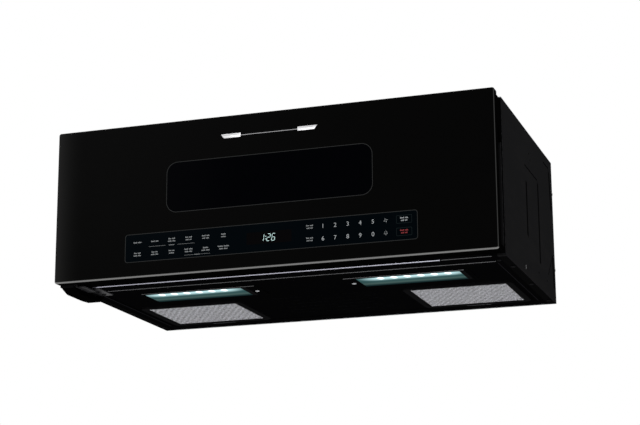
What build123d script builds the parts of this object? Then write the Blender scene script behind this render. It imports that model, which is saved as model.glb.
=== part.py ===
from build123d import *
import math
import os

os.makedirs("parts", exist_ok=True)

# Over-the-range microwave oven, low-profile, 30 inch class.
# Millimetres. X runs to the right seen from the front, Y runs back to the wall, Z runs up.
# The origin is on the wall, in the middle of the cabinet's lower rear edge.

# ---------------------------------------------------------------- driving sizes
# Cabinet
cabinet_width = 752.0
cabinet_height = 261.0
cabinet_depth = 407.0
sheet = 1.0
plate = 1.2
flange = 14.0
rim_width = 26.0
front_rim = 43.0
rear_rim = 27.0
recess_depth = 2.5
side_front_radius = 6.0
top_edge_radius = 0.6
top_lip = 1.4
base_side_gap = 1.1
base_lip_height = 11.0
base_lip_radius = 0.9
tongue_width = 84.0
tongue_from_side = 24.0
tongue_reach = 9.0
divider_behind_front = 185.0
divider_foot = 10.0
groove_width = 3.0
groove_depth = 0.7
side_hole_radius = 2.2

# Holes and pressed grooves of the side panels: distance from the wall, then the height given
side_holes_below_top = ((200.0, 38.0), (191.0, 47.0))
side_holes_above_base = ((28.0, 133.0), (26.0, 109.0), (148.0, 26.0), (77.0, 26.0))
grooves_below_top = (
    ((240.0, 68.0), (138.0, 69.0), (132.0, 75.0), (132.0, 215.0)),
    ((230.0, 96.0), (230.0, 187.0), (223.0, 192.0)),
    ((77.0, 19.0), (33.0, 19.0), (27.0, 27.0), (19.0, 93.0)),
)
grooves_above_base = (((65.0, 39.0), (21.0, 82.0), (15.0, 26.0)),)

# Pressed ribs between the filters
rib_rows = 3
rib_length = 190.0
rib_width = 30.0
rib_pitch = 52.0
rib_wall = 3.0
rib_corner = 6.0
rib_corner_step = 2.0
rib_height = 0.5
rib_behind_front = 275.0

# Door
door_thickness = 56.0
door_gap = 4.0
panel_overhang = 2.5
panel_below_top = 2.5
panel_bottom = -3.0
panel_skirt = 16.0
panel_thickness = 4.5
skirt_wall = 3.0
panel_corner = 4.0
panel_edge = 3.0
frame_inset = 3.5
frame_underside = 2.6
frame_wall = 2.5
window_width = 356.0
window_height = 86.5
window_radius = 19.0
window_centre = 144.5
control_width = 501.0
control_height = 48.0
control_radius = 5.0
control_centre = 46.5
inlay_gap = 0.3
glass_sunk = 0.3
window_flange = 8.0
control_flange = 4.0
glass_flange_thickness = 1.5
badge_width = 167.0
badge_height = 7.0
badge_below_top = 36.0
badge_aside = 2.5
badge_rise = 2.0
badge_bevel = 0.8

# Choke, screen and inner glass on the door's back
choke_beside_cavity = 15.0
choke_above_cavity = 9.0
choke_below_floor = 12.0
choke_rise = 3.5
choke_depth = 17.0
choke_wall = 1.2
choke_ring = 24.0
choke_ring_step = 2.0
choke_cover_seat = 0.2
inner_glass_thickness = 3.0
sight_inset_x = 4.0
sight_inset_z = 2.0
sight_corner_step = 2.0
screen_thickness = 0.8
screen_columns = 36
screen_rows = 8
screen_hole = 3.4
screen_border_x = 8.0
screen_border_z = 6.0
screen_margin_x = 2.0
screen_margin_z = 3.0
screen_corner = 6.0

# Control board behind the control glass
board_thickness = 1.6
control_board_inset = 6.5
control_board_height = 42.0
chip_pitch = 90.0
chip_size = 18.0
chip_length = 16.0
chip_thickness = 3.0
connector_from_end = 34.0
connector_width = 28.0
connector_below = 11.0
connector_height = 10.0
connector_depth = 7.0
buzzer_from_end = 29.0
buzzer_radius = 6.0
buzzer_depth = 8.0
display_width = 76.0
display_height = 19.0
display_aside = 2.5
display_depth = 9.0

# Finger pocket in the right side of the door frame
pocket_depth = 28.0
pocket_bottom = 12.0
pocket_below_top_rear = 73.5
pocket_below_top_front = 25.5

# Hinge on the left
hinge_from_edge = 21.5
hinge_behind_face = 28.0
frame_behind_hinge = 11.0
pin_radius = 4.0
pin_fit = 0.05
pin_short = 1.0
pin_chamfer = 0.6
bush_wall = 3.0
bush_length = 14.0
bush_flange = 0.5
bush_flange_reach = 1.5
boss_wall = 2.5
boss_floor = 1.0
bracket_plate = 2.0
arm_width = 22.0
arm_offset = 3.0
arm_drop = 4.0
arm_gusset = 6.0
eye_radius = 9.0
collar_radius = 7.0
running_gap = 0.3
eye_lift = 0.2
upper_flange_height = 22.0
bracket_step_behind_front = 8.0
bracket_foot_width = 6.0
bracket_foot_length = 57.0
bracket_screw_inset = 6.0
bracket_screw_first = 22.0
bracket_screw_pitch = 25.0

# Hinge cover under the door's left corner
cover_width = 25.0
cover_from_side = 2.0
cover_behind_face = 14.0
cover_behind_foot = 7.0
cover_drop = 15.0
cover_wall = 1.8
cover_corner_radius = 3.5
cover_gap = 0.6
cover_step_gap = 2.0
cover_end_wall = 3.0
cover_slope_wall = 2.0
cover_beside_arm = 12.0
cover_under_arm = 0.4
cover_foot_gap = 1.0
cover_front_slope = 8.0
cover_front_run = 24.0
cover_rear_slope = 16.0
cover_rear_run = 40.0
cover_toe = 5.0
cover_heel = 1.5
cover_tail = 3.0
cover_slot_count = 9
cover_slot_pitch = 6.0
cover_slot_width = 2.0
cover_slot_depth = 0.6
cover_slot_first = 26.0
cover_slot_low = 4.0
cover_slot_high = 2.0

# Latch
latch_from_edge = 57.0
latch_thickness = 4.0
latch_travel = 4.0
latch_bar_depth = 12.0
latch_bar_end = 14.0
hook_above_floor = 18.0
hook_below_roof = 23.0
hook_reach = 26.0
hook_height = 9.0
hook_lip = 4.0
hook_lip_depth = 8.0
hook_clearance = 1.5
slot_side_gap = 1.5
slot_far_gap = 4.5
web_slot_gap = 0.5
spring_radius = 3.2
spring_wire = 0.8
housing_half = 14.0
housing_depth = 32.0
housing_below = 20.0
housing_above = 22.0
housing_wall = 3.0
housing_bridge = 4.0
housing_slot_gap = 1.0
switch_thickness = 10.0
switch_depth = 22.0
switch_height = 28.0
switch_lift = 6.0
terminal_pitch = 9.0
terminal_thickness = 1.0
terminal_width = 4.0
terminal_length = 7.0
terminal_inset = 4.0

# Oven cavity
side_bay = 121.0
cavity_floor = 78.0
cavity_radius = 8.0
roof_gap = 22.0
cavity_behind_gap = 10.4
vent_hole_radius = 1.8
vent_hole_pitch = 7.0
lamp_vent_columns = 5
lamp_vent_rows = 3
air_vent_columns = 6
air_vent_rows = 4
air_vent_behind_fan = 18.0

# Microwave supply: guide, port, cover and magnetron
guide_behind_front = 112.0
guide_height_above_base = 150.0
guide_width = 90.0
guide_height = 80.0
guide_depth = 28.0
port_width = 60.0
port_height = 34.0
port_lift = 15.0
port_cover_side = 8.0
port_cover_edge = 6.0
antenna_hole = 11.0
antenna_radius = 9.0
antenna_length = 22.0
gasket_thickness = 2.0
gasket_radius = 18.0
magnetron_depth = 60.0
magnetron_half_width = 45.0
magnetron_half_height = 38.0
magnetron_shell = 3.0
anode_radius = 20.0
fin_count = 7
fin_thickness = 0.8
fin_clearance = 4.0
filter_box_half_width = 34.0
filter_box_inset = 2.0
filter_box_drop = 20.0

# Oven lamp behind the cavity's left wall
oven_lamp_from_wall = 200.0
oven_lamp_below_roof = 32.0
oven_lamp_box_depth = 26.0
oven_lamp_half_width = 22.0
oven_lamp_half_height = 16.0
oven_lamp_wall = 1.5
oven_lamp_socket_reach = 40.0
oven_lamp_socket_start = 24.0
oven_lamp_socket_radius = 9.0
bulb_place = 14.0
bulb_radius = 8.0
bulb_neck_radius = 5.0

# Turntable
tray_clearance = 5.0
tray_thickness = 4.0
tray_rim = 6.0
tray_foot_inset = 6.0
tray_lip = 2.5
tray_bowl_inset = 8.0
roller_radius = 6.7
roller_width = 8.0
roller_circle = 92.0
roller_pin_radius = 2.5
roller_count = 3
peg_overhang = 2.5
peg_collar = 1.4
peg_collar_width = 1.5
ring_radius = 78.0
ring_width = 7.0
ring_thickness = 3.0
coupler_radius = 11.0
coupler_wall = 3.0
coupler_cap = 3.0
coupler_gap = 1.2
lug_count = 3
lug_length = 8.0
lug_width = 6.0
lug_height = 3.0
lug_step = 0.01
shaft_radius = 3.0
shaft_fit = 0.05
shaft_hole = 6.0
shaft_depth = 12.0
motor_radius = 24.0
motor_height = 17.0
motor_ear = 8.0
motor_ear_half_width = 7.0
motor_ear_thickness = 1.5
motor_plug_half_width = 10.0
motor_plug_reach = 9.0
motor_plug_root = 3.0
motor_plug_drop = 5.0

# Cooktop lamps
lamp_from_recess_side = 66.0
lamp_length = 186.0
lamp_behind_front = 97.0
lamp_depth = 63.0
bezel_inner_margin = 21.0
bezel_outer_margin = 9.0
bezel_front_margin = 9.0
bezel_rear_margin = 6.0
bezel_thickness = 1.6
bezel_corner = 3.0
lens_drop = 1.3
lens_flange = 4.0
lens_edge = 0.8
lens_fit = 0.2
lamp_box_inner = 8.0
lamp_box_margin = 6.0
lamp_box_wall = 1.2
lamp_box_room = 8.0
lamp_ear_width = 20.0
lamp_ear_inset = 5.0
lamp_screw_from_lamp = 11.0
lamp_screw_behind_front = 127.0
lamp_pillar_inset = 8.0
lamp_pillar_radius = 3.0
lamp_pillar_behind_leds = 12.0
lamp_board_front = 9.0
lamp_board_rear = 17.0
lamp_board_inset = 2.0
led_count = 6
led_radius = 2.6
led_height = 1.2
led_pitch = 23.3
led_first_from_lamp = 42.0
led_behind_front = 121.0
led_gap = 0.3

# Grease filters
filter_from_recess_side = 10.0
filter_width = 192.0
filter_behind_bezel = 33.0
filter_from_recess_rear = 9.0
filter_border = 8.0
filter_thickness = 2.3
filter_ledge = 6.0
filter_gap = 0.1
filter_corner = 4.0
filter_chamfer = 0.6
net_columns = 18
net_rows = 16
net_bar = 2.4
net_thickness = 1.4
net_inset = 0.4
tab_width = 44.0
tab_depth = 9.0
tab_drop = 0.8
tab_root = 0.4

# High-voltage supply
core_width = 72.0
core_depth = 86.0
core_height = 62.0
core_clearance = 11.0
core_behind_recess = 4.0
coil_overhang = 14.0
coil_side_inset = 10.0
coil_end_inset = 12.0
coil_radius = 6.0
capacitor_behind_fan = 18.0
capacitor_width = 54.0
capacitor_base = 104.0
capacitor_height = 86.0
capacitor_thickness = 32.0
capacitor_radius = 12.0
capacitor_terminal_radius = 2.5
capacitor_terminal_height = 10.0
capacitor_terminal_pitch = 18.0
clamp_base = 140.0
clamp_height = 16.0
clamp_ear = 12.0

# Power board on the left side
power_board_from_front = 35.0
power_board_length = 136.0
power_board_height = 120.0
power_board_below_top = 28.0
standoff = 5.0
standoff_inset = 8.0
standoff_radius = 3.0
relay_count = 4
relay_from_front = 10.0
relay_pitch = 24.0
relay_length = 18.0
relay_height = 20.0
relay_depth = 16.0
relay_below_top = 8.0
board_core_length = 38.0
board_core_height = 40.0
board_core_depth = 30.0
board_core_from_front = 72.0
board_core_rise = 16.0
can_count = 3
can_pitch = 20.0
can_radius = 7.0
can_depth = 22.0
can_from_front = 22.0
can_rise = 28.0
plug_count = 5
plug_pitch = 26.0
plug_length = 20.0
plug_height = 12.0
plug_depth = 9.0
plug_from_front = 6.0
plug_rise = 66.0

# Magnetron cooling fan
fan_height = 163.0
fan_behind_magnetron = 18.0
fan_size = 106.0
fan_depth = 24.0
fan_bore = 48.5
fan_radius = 46.0
fan_blades = 5
fan_hub = 14.0
fan_blade_root = 3.0
fan_tip_gap = 2.0
fan_shaft = 2.5
fan_strut_width = 7.0
fan_strut_thickness = 3.0
fan_strut_root = 0.5
fan_motor_radius = 21.0
fan_motor_length = 22.0
fan_shaft_length = 15.0
fan_front_gap = 2.0
fan_rear_gap = 5.0
fan_chord = 15.0
fan_blade_thickness = 2.0
fan_root_pitch = 35
fan_tip_pitch = 20

# Hood blower and exhaust
duct_width = 254.0
duct_depth = 80.0
blower_wall = 1.2
blower_axis_height = 78.0
blower_radius = 36.0
blower_length = 88.0
blower_motor_radius = 29.0
blower_motor_half = 27.0
blower_motor_edge = 3.0
blower_motor_gap = 6.0
blower_leg_half_width = 14.0
blower_leg_height = 20.0
blower_shaft_radius = 3.0
blower_inlet_radius = 27.0
blower_tongue_rise = 38.0
blower_tongue_height = 22.0
blower_tongue_depth = 3.0
blade_count = 24
wheel_disc = 2.0
wheel_hub = 20.0
wheel_hub_radius = 8.0
wheel_shaft_overhang = 2.0
wheel_blade_depth = 8.0
wheel_blade_thickness = 1.0
wheel_blade_lean = 25
collar_height = 19.0
collar_wall = 1.0
collar_inset = 1.0
collar_base = 12.0
collar_base_thickness = 1.5
flap_thickness = 1.0
flap_gap = 1.2
flap_pin = 1.5
flap_pin_short = 0.1
flap_from_back = 5.0
flap_height = 8.0
flap_stop = 3.0
flap_stop_thickness = 1.0

# Fasteners and the cord's gland
screw_radius = 1.6
screw_head_radius = 3.6
screw_head = 1.8
screw_length = 8.0
screw_fit = 0.05
corner_screw_from_side = 19.0
corner_screw_behind_front = 35.0
base_screws_behind_front = (82.0, 225.0)
base_screw_from_wall = 37.0
top_screws_behind_front = (67.0, 207.0)
top_screw_from_wall = 60.0
side_screw_behind_front = 147.0
side_screw_height = 12.0
rear_screw_low = 60.0
rear_screw_below_top = 61.0
door_screw_low = 31.4
door_screw_from_hinge_side = 43.0
door_screw_from_pocket = 22.0
door_screw_from_latch = 18.0
door_screw_below_top_left = 29.5
door_screw_below_top_right = 13.5
top_bolt_radius = 3.6
top_bolt_spacing = 600.0
top_bolt_from_front = 69.0
wall_slot_length = 30.0
wall_slot_radius = 4.0
wall_slot_spacing = 560.0
wall_slot_height = 24.0
gland_radius = 11.0
gland_flange = 3.0
gland_rise = 7.0
gland_depth = 8.0
gland_nut = 6.0
gland_edge = 1.0
cord_radius = 4.5
gland_from_right = 70.0
gland_from_wall = 60.0

# Air slots of the top panel
louvre_columns = 30
louvre_rows = 2
louvre_pitch = 18.0
louvre_row_pitch = 24.0
louvre_length = 18.0
louvre_width = 5.0
louvre_from_front = 32.0

cut = 1.0  # how far a cutting shape runs past the face it opens

# ---------------------------------------------------------------- derived places
half_width = cabinet_width / 2
case_front = -cabinet_depth
door_back = case_front - door_gap
door_face = door_back - door_thickness
half_panel = half_width + panel_overhang
panel_top = cabinet_height - panel_below_top
panel_back = door_face + panel_thickness
frame_front = panel_back
frame_back = door_back
frame_right = half_panel - frame_inset
frame_top = panel_top - skirt_wall
web_front = frame_back - frame_wall
hinge_x = -half_panel + hinge_from_edge
hinge_y = door_face + hinge_behind_face
frame_left = hinge_x - frame_behind_hinge
pocket_x = frame_right - pocket_depth
rim_level = sheet
recess_level = rim_level + recess_depth
recess_top = recess_level + sheet
recess_half = half_width - rim_width
recess_front = case_front + front_rim
recess_rear = -rear_rim
front_plate_face = case_front + sheet
front_plate_back = front_plate_face + plate
half_inside = half_width - sheet
case_top_inside = cabinet_height - sheet
blower_back = -(sheet + blower_wall)
exhaust_y = (blower_back - duct_depth, blower_back)
liner_back = exhaust_y[0] - blower_wall - cavity_behind_gap - sheet
cavity_width = cabinet_width - 2 * side_bay
cavity_depth = liner_back - front_plate_back
half_cavity = cavity_width / 2
floor_top = cavity_floor + sheet
roof_inside = case_top_inside - roof_gap - sheet
cavity_height = roof_inside - floor_top
cavity_middle = (floor_top + roof_inside) / 2
tray_centre = (front_plate_back + liner_back) / 2
tray_radius = min(cavity_width, cavity_depth) / 2 - tray_clearance
roller_axis = floor_top + running_gap + roller_radius
tray_underside = roller_axis + roller_radius + running_gap
latch_x = frame_right - latch_from_edge
hook_places = (cavity_floor + hook_above_floor, roof_inside - hook_below_roof)
gland_x = half_width - gland_from_right
gland_y = -gland_from_wall
louvre_y = case_front + louvre_from_front
top_bolt_y = case_front + top_bolt_from_front


def block(x, y, z, mode=Mode.ADD):
    """A box given by its limits along each axis."""
    with Locations(((x[0] + x[1]) / 2, (y[0] + y[1]) / 2, (z[0] + z[1]) / 2)):
        Box(abs(x[1] - x[0]), abs(y[1] - y[0]), abs(z[1] - z[0]), mode=mode)


def post(x, y, z, radius, mode=Mode.ADD):
    """An upright cylinder between two heights."""
    with Locations((x, y, (z[0] + z[1]) / 2)):
        Cylinder(radius, abs(z[1] - z[0]), mode=mode)


def cross_rod(x, y, z, radius, mode=Mode.ADD):
    """A cylinder along X between two places."""
    with Locations(((x[0] + x[1]) / 2, y, z)):
        Cylinder(radius, abs(x[1] - x[0]), rotation=(0, 90, 0), mode=mode)


def depth_rod(x, y, z, radius, mode=Mode.ADD):
    """A cylinder along Y between two places."""
    with Locations((x, (y[0] + y[1]) / 2, z)):
        Cylinder(radius, abs(y[1] - y[0]), rotation=(90, 0, 0), mode=mode)


def around(middle, half):
    """Two limits the same distance either side of a middle."""
    return (middle - half, middle + half)


def sided(side, inner, outer):
    """Limits along X of a piece that lies between two distances from the middle."""
    return tuple(sorted((side * inner, side * outer)))


def both_sides(x, y, z, mode=Mode.ADD):
    """The same box on the left and on the right of the middle."""
    for side in (-1, 1):
        block(sided(side, *x), y, z, mode)


def save(builder, name):
    builder.part.label = name
    export_step(builder.part, f"parts/{name}.step")


# ---------------------------------------------------------------- fastener places
screw_hole = screw_radius + screw_fit
corner_screw_x = half_width - corner_screw_from_side
corner_screw_y = case_front + corner_screw_behind_front
flange_screw_x = half_width - flange / 2
flange_screw_ys = [case_front + y for y in base_screws_behind_front] + [-base_screw_from_wall]
base_screw_places = [(side * flange_screw_x, y) for side in (-1, 1) for y in flange_screw_ys]
lamp_outer = recess_half - lamp_from_recess_side
lamp_inner = lamp_outer - lamp_length
lamp_screw_x = lamp_inner - lamp_screw_from_lamp
lamp_screw_y = case_front + lamp_screw_behind_front
side_screw_y = case_front + side_screw_behind_front
rear_screw_y = -flange / 2
rear_screw_zs = (rear_screw_low, cabinet_height - rear_screw_below_top)
top_screw_ys = [case_front + y for y in top_screws_behind_front] + [-top_screw_from_wall]
door_screw_left = frame_left + door_screw_from_hinge_side
door_screw_z = frame_underside + door_screw_low
door_screw_places = [
    (door_screw_left, door_screw_z),
    (0.0, door_screw_z),
    (pocket_x - door_screw_from_pocket, door_screw_z),
    (door_screw_left, frame_top - door_screw_below_top_left),
    (latch_x - door_screw_from_latch, frame_top - door_screw_below_top_right),
]

# ---------------------------------------------------------------- cabinet shell
with BuildPart() as rear_panel:
    block((-half_width, half_width), (-sheet, 0), (0, cabinet_height))
    both_sides((half_inside - sheet, half_inside), (-flange, -sheet),
               (2 * sheet, case_top_inside - 2 * sheet))
    for side in (-1, 1):
        for z in rear_screw_zs:
            cross_rod(sided(side, half_inside - 2 * sheet, half_inside + sheet), rear_screw_y, z,
                      screw_hole, Mode.SUBTRACT)
    with BuildSketch(Plane.XZ):
        with GridLocations(wall_slot_spacing, 0, 2, 1):
            with Locations((0, wall_slot_height)):
                SlotOverall(wall_slot_length, 2 * wall_slot_radius)
    extrude(amount=sheet, both=True, mode=Mode.SUBTRACT)
save(rear_panel, "rear_panel")

side_hole_places = [(-y, cabinet_height - z) for y, z in side_holes_below_top]
side_hole_places += [(-y, z) for y, z in side_holes_above_base]
side_groove_lines = [[(-y, cabinet_height - z) for y, z in line] for line in grooves_below_top]
side_groove_lines += [[(-y, z) for y, z in line] for line in grooves_above_base]


def side_panel(side):
    """A pressed side sheet with a return at the front and flanges above and below."""
    outer = side * half_width
    through = sided(side, half_width - 2 * sheet, half_width + sheet)
    with BuildPart() as panel:
        block(sided(side, half_width - flange, half_width), (case_front, -sheet), (0, case_top_inside))
        front_edge = panel.edges().filter_by(Axis.Z).filter_by_position(
            Axis.Y, case_front - sheet, case_front + sheet
        )
        outer_edge = front_edge.sort_by(Axis.X)[-1 if side > 0 else 0]
        fillet(outer_edge, radius=side_front_radius)
        block(
            sided(side, half_width - flange - sheet, half_inside),
            (case_front + sheet, 0),
            (sheet, case_top_inside - sheet),
            Mode.SUBTRACT,
        )
        for y in flange_screw_ys:
            post(side * flange_screw_x, y, (-sheet, 2 * sheet), screw_hole, Mode.SUBTRACT)
        for y in top_screw_ys:
            post(side * flange_screw_x, y, (case_top_inside - 2 * sheet, cabinet_height), screw_hole,
                 Mode.SUBTRACT)
        for z in rear_screw_zs:
            cross_rod(through, rear_screw_y, z, screw_hole, Mode.SUBTRACT)
        cross_rod(through, side_screw_y, side_screw_height, screw_hole, Mode.SUBTRACT)
        for y, z in side_hole_places:
            cross_rod(through, y, z, side_hole_radius, Mode.SUBTRACT)
        with BuildSketch(Plane.YZ.offset(outer)):
            for line in side_groove_lines:
                with BuildLine():
                    Polyline(*line)
                trace(line_width=groove_width)
        extrude(amount=-side * groove_depth, mode=Mode.SUBTRACT)
    return panel


for side_name, side in (("left", -1), ("right", 1)):
    save(side_panel(side), f"{side_name}_side_panel")

lip_half = half_width - flange - inlay_gap
with BuildPart() as top_panel:
    block((-half_width, half_width), (case_front, -sheet), (case_top_inside, cabinet_height))
    block((-lip_half, lip_half), (case_front, case_front + sheet),
          (case_top_inside - top_lip, cabinet_height))
    long_edges = top_panel.edges().filter_by(Axis.Y).group_by(Axis.Z)[-1]
    fillet(long_edges, radius=top_edge_radius)
    block((-duct_width / 2, duct_width / 2), exhaust_y,
          (case_top_inside - sheet, cabinet_height + sheet), Mode.SUBTRACT)
    with Locations((0, top_bolt_y, cabinet_height)):
        with GridLocations(top_bolt_spacing, 0, 2, 1):
            Cylinder(top_bolt_radius, 4 * sheet, mode=Mode.SUBTRACT)
    with Locations((gland_x, gland_y, cabinet_height)):
        Cylinder(gland_radius, 4 * sheet, mode=Mode.SUBTRACT)
    for y in top_screw_ys:
        for side in (-1, 1):
            post(side * flange_screw_x, y, (case_top_inside - sheet, cabinet_height + sheet),
                 screw_hole, Mode.SUBTRACT)
    with BuildSketch(Plane.XY.offset(cabinet_height)):
        with Locations((0, louvre_y)):
            with GridLocations(louvre_pitch, louvre_row_pitch, louvre_columns, louvre_rows):
                SlotOverall(louvre_length, louvre_width, rotation=90)
    extrude(amount=-2 * sheet, mode=Mode.SUBTRACT)
save(top_panel, "top_panel")

# ---------------------------------------------------------------- front plate and base
slot_sides = (latch_x - latch_thickness / 2 - slot_side_gap, latch_x + latch_thickness / 2 + slot_far_gap)
hook_clear_below = hook_height / 2 + hook_lip + hook_clearance
hook_clear_above = hook_height / 2 + latch_travel + hook_clearance
hook_slots = [(z - hook_clear_below, z + hook_clear_above) for z in hook_places]
arm_right = hinge_x + arm_width
arm_left = hinge_x - arm_offset
upper_plate_low = frame_top + bush_flange + eye_lift
upper_plate_high = upper_plate_low + bracket_plate
upper_flange_low = upper_plate_high - upper_flange_height
hinge_screw_x = (arm_left + arm_right) / 2
hinge_screw_z = (upper_plate_low + upper_flange_low) / 2
through_plate = (front_plate_face - plate, front_plate_back + plate)

with BuildPart() as front_plate:
    block((-half_inside, half_inside), (front_plate_face, front_plate_back),
          (rim_level + sheet, case_top_inside - sheet))
    with BuildSketch(Plane.XZ.offset(-front_plate_face)):
        with Locations((0, cavity_middle)):
            RectangleRounded(cavity_width, cavity_height, cavity_radius)
    extrude(amount=-2 * plate, mode=Mode.SUBTRACT)
    for slot in hook_slots:
        block(slot_sides, through_plate, slot, Mode.SUBTRACT)
    block((arm_left - running_gap, arm_right + running_gap), through_plate,
          (upper_plate_low - running_gap, case_top_inside), Mode.SUBTRACT)
    depth_rod(hinge_screw_x, through_plate, hinge_screw_z, screw_hole, Mode.SUBTRACT)
save(front_plate, "front_plate")

base_half = half_inside - base_side_gap
tongue_right = half_width - tongue_from_side
step_y = case_front + bracket_step_behind_front
bracket_screw_x = arm_right - bracket_screw_inset
bracket_screw_ys = [step_y + bracket_screw_first + i * bracket_screw_pitch for i in range(2)]
lamp_front = case_front + lamp_behind_front
lamp_rear = lamp_front + lamp_depth
bezel_inner = lamp_inner - bezel_inner_margin
bezel_outer = lamp_outer + bezel_outer_margin
bezel_front = lamp_front - bezel_front_margin
bezel_rear = lamp_rear + bezel_rear_margin
filter_outer = recess_half - filter_from_recess_side
filter_inner = filter_outer - filter_width
filter_front = bezel_rear + filter_behind_bezel
filter_rear = recess_rear - filter_from_recess_rear
through_base = (0, 2 * recess_top)

with BuildPart() as base_pan:
    block((-base_half, base_half), (case_front + sheet, -sheet), (rim_level, rim_level + sheet))
    block((-lip_half, lip_half), (case_front, case_front + sheet), (rim_level, rim_level + base_lip_height))
    lip_edge = base_pan.edges().filter_by(Axis.X).group_by(Axis.Y)[0].sort_by(Axis.Z)[0]
    fillet(lip_edge, radius=base_lip_radius)
    block((tongue_right - tongue_width, tongue_right), (case_front - tongue_reach, case_front + sheet),
          (rim_level, rim_level + sheet))
    block((-recess_half, recess_half), (recess_front, recess_rear), (rim_level, recess_top))
    block((-recess_half + sheet, recess_half - sheet), (recess_front + sheet, recess_rear - sheet),
          (rim_level - sheet, recess_level), Mode.SUBTRACT)
    both_sides((lamp_inner - lens_flange, lamp_outer + lens_flange),
               (lamp_front - lens_flange, lamp_rear + lens_flange), through_base, Mode.SUBTRACT)
    both_sides((filter_inner + filter_ledge, filter_outer - filter_ledge),
               (filter_front + filter_ledge, filter_rear - filter_ledge), through_base, Mode.SUBTRACT)
    for side in (-1, 1):
        post(side * lamp_screw_x, lamp_screw_y, through_base, screw_hole, Mode.SUBTRACT)
    for x, y in base_screw_places + [(corner_screw_x, corner_screw_y)]:
        post(x, y, through_base, screw_hole, Mode.SUBTRACT)
    for y in bracket_screw_ys:
        post(bracket_screw_x, y, through_base, screw_hole, Mode.SUBTRACT)
    with BuildSketch(Plane.XY.offset(recess_level)):
        with Locations((0, case_front + rib_behind_front)):
            with GridLocations(0, rib_pitch, 1, rib_rows):
                RectangleRounded(rib_length, rib_width, rib_corner)
                RectangleRounded(rib_length - 2 * rib_wall, rib_width - 2 * rib_wall,
                                 rib_corner - rib_corner_step, mode=Mode.SUBTRACT)
    extrude(amount=-rib_height)
save(base_pan, "base_pan")

with BuildPart() as vent_divider:
    divider_y = case_front + divider_behind_front
    block((-base_half, base_half), (divider_y, divider_y + sheet), (recess_top, cavity_floor))
    block((-recess_half, recess_half), (divider_y, divider_y + divider_foot),
          (recess_top, recess_top + sheet))
save(vent_divider, "vent_divider")

# ---------------------------------------------------------------- oven cavity
guide_y = case_front + guide_behind_front
guide_z = guide_height_above_base
port_z = guide_z + port_lift
guide_left = half_cavity + sheet
guide_right = guide_left + guide_depth
magnetron_y = around(guide_y, magnetron_half_width)
fan_front = magnetron_y[1] + fan_behind_magnetron
fan_rear = fan_front + fan_depth
oven_lamp_y = -oven_lamp_from_wall
oven_lamp_z = roof_inside - oven_lamp_below_roof
air_vent_y = fan_rear + air_vent_behind_fan
liner_height = cavity_height + 2 * sheet

with BuildPart() as cavity_liner:
    with BuildSketch(Plane.XZ.offset(-front_plate_back)):
        with Locations((0, cavity_middle)):
            RectangleRounded(cavity_width + 2 * sheet, liner_height, cavity_radius + sheet)
    extrude(amount=-(cavity_depth + sheet))
    with BuildSketch(Plane.XZ.offset(-front_plate_back)):
        with Locations((0, cavity_middle)):
            RectangleRounded(cavity_width, cavity_height, cavity_radius)
    extrude(amount=-cavity_depth, mode=Mode.SUBTRACT)
    post(0, tray_centre, (cavity_floor - sheet, floor_top + sheet), shaft_hole, Mode.SUBTRACT)
    block((half_cavity - sheet, half_cavity + 2 * sheet), around(guide_y, port_width / 2),
          around(port_z, port_height / 2), Mode.SUBTRACT)
    with BuildSketch(Plane.YZ.offset(-half_cavity + sheet)):
        with Locations((oven_lamp_y, oven_lamp_z)):
            with GridLocations(vent_hole_pitch, vent_hole_pitch, lamp_vent_columns, lamp_vent_rows):
                Circle(vent_hole_radius)
    extrude(amount=-3 * sheet, mode=Mode.SUBTRACT)
    with BuildSketch(Plane.YZ.offset(half_cavity - sheet)):
        with Locations((air_vent_y, guide_z)):
            with GridLocations(vent_hole_pitch, vent_hole_pitch, air_vent_columns, air_vent_rows):
                Circle(vent_hole_radius)
    extrude(amount=3 * sheet, mode=Mode.SUBTRACT)
save(cavity_liner, "cavity_liner")

with BuildPart() as waveguide:
    block((guide_left, guide_right), around(guide_y, guide_width / 2), around(guide_z, guide_height / 2))
    block((guide_left, guide_right - sheet), around(guide_y, guide_width / 2 - sheet),
          around(guide_z, guide_height / 2 - sheet), Mode.SUBTRACT)
    cross_rod((guide_right - 2 * sheet, guide_right + sheet), guide_y, guide_z, antenna_hole,
              Mode.SUBTRACT)
save(waveguide, "waveguide")

with BuildPart() as waveguide_cover:
    block((half_cavity - sheet, half_cavity), around(guide_y, port_width / 2 + port_cover_side),
          around(port_z, port_height / 2 + port_cover_edge))
save(waveguide_cover, "waveguide_cover")

with BuildPart() as magnetron:
    core_left = guide_right + gasket_thickness
    core_right = core_left + magnetron_depth
    shell_x = (core_left + magnetron_shell, core_right - magnetron_shell)
    shell_z = around(guide_z, magnetron_half_height - magnetron_shell)
    box_z = (guide_z - magnetron_half_height - filter_box_drop, guide_z - magnetron_half_height)
    fin_pitch = (magnetron_depth - 2 * magnetron_shell) / (fin_count + 1)
    block((core_left, core_right), magnetron_y, around(guide_z, magnetron_half_height))
    block(shell_x, around(guide_y, magnetron_half_width + cut), shell_z, Mode.SUBTRACT)
    cross_rod((core_left, core_right), guide_y, guide_z, anode_radius)
    for i in range(fin_count):
        block(around(shell_x[0] + (i + 1) * fin_pitch, fin_thickness / 2),
              around(guide_y, magnetron_half_width - fin_clearance), shell_z)
    cross_rod((guide_right, core_left), guide_y, guide_z, gasket_radius)
    cross_rod((guide_right - antenna_length, guide_right), guide_y, guide_z, antenna_radius)
    block((core_left + filter_box_inset, core_right - filter_box_inset),
          around(guide_y, filter_box_half_width), box_z)
save(magnetron, "magnetron")

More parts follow.
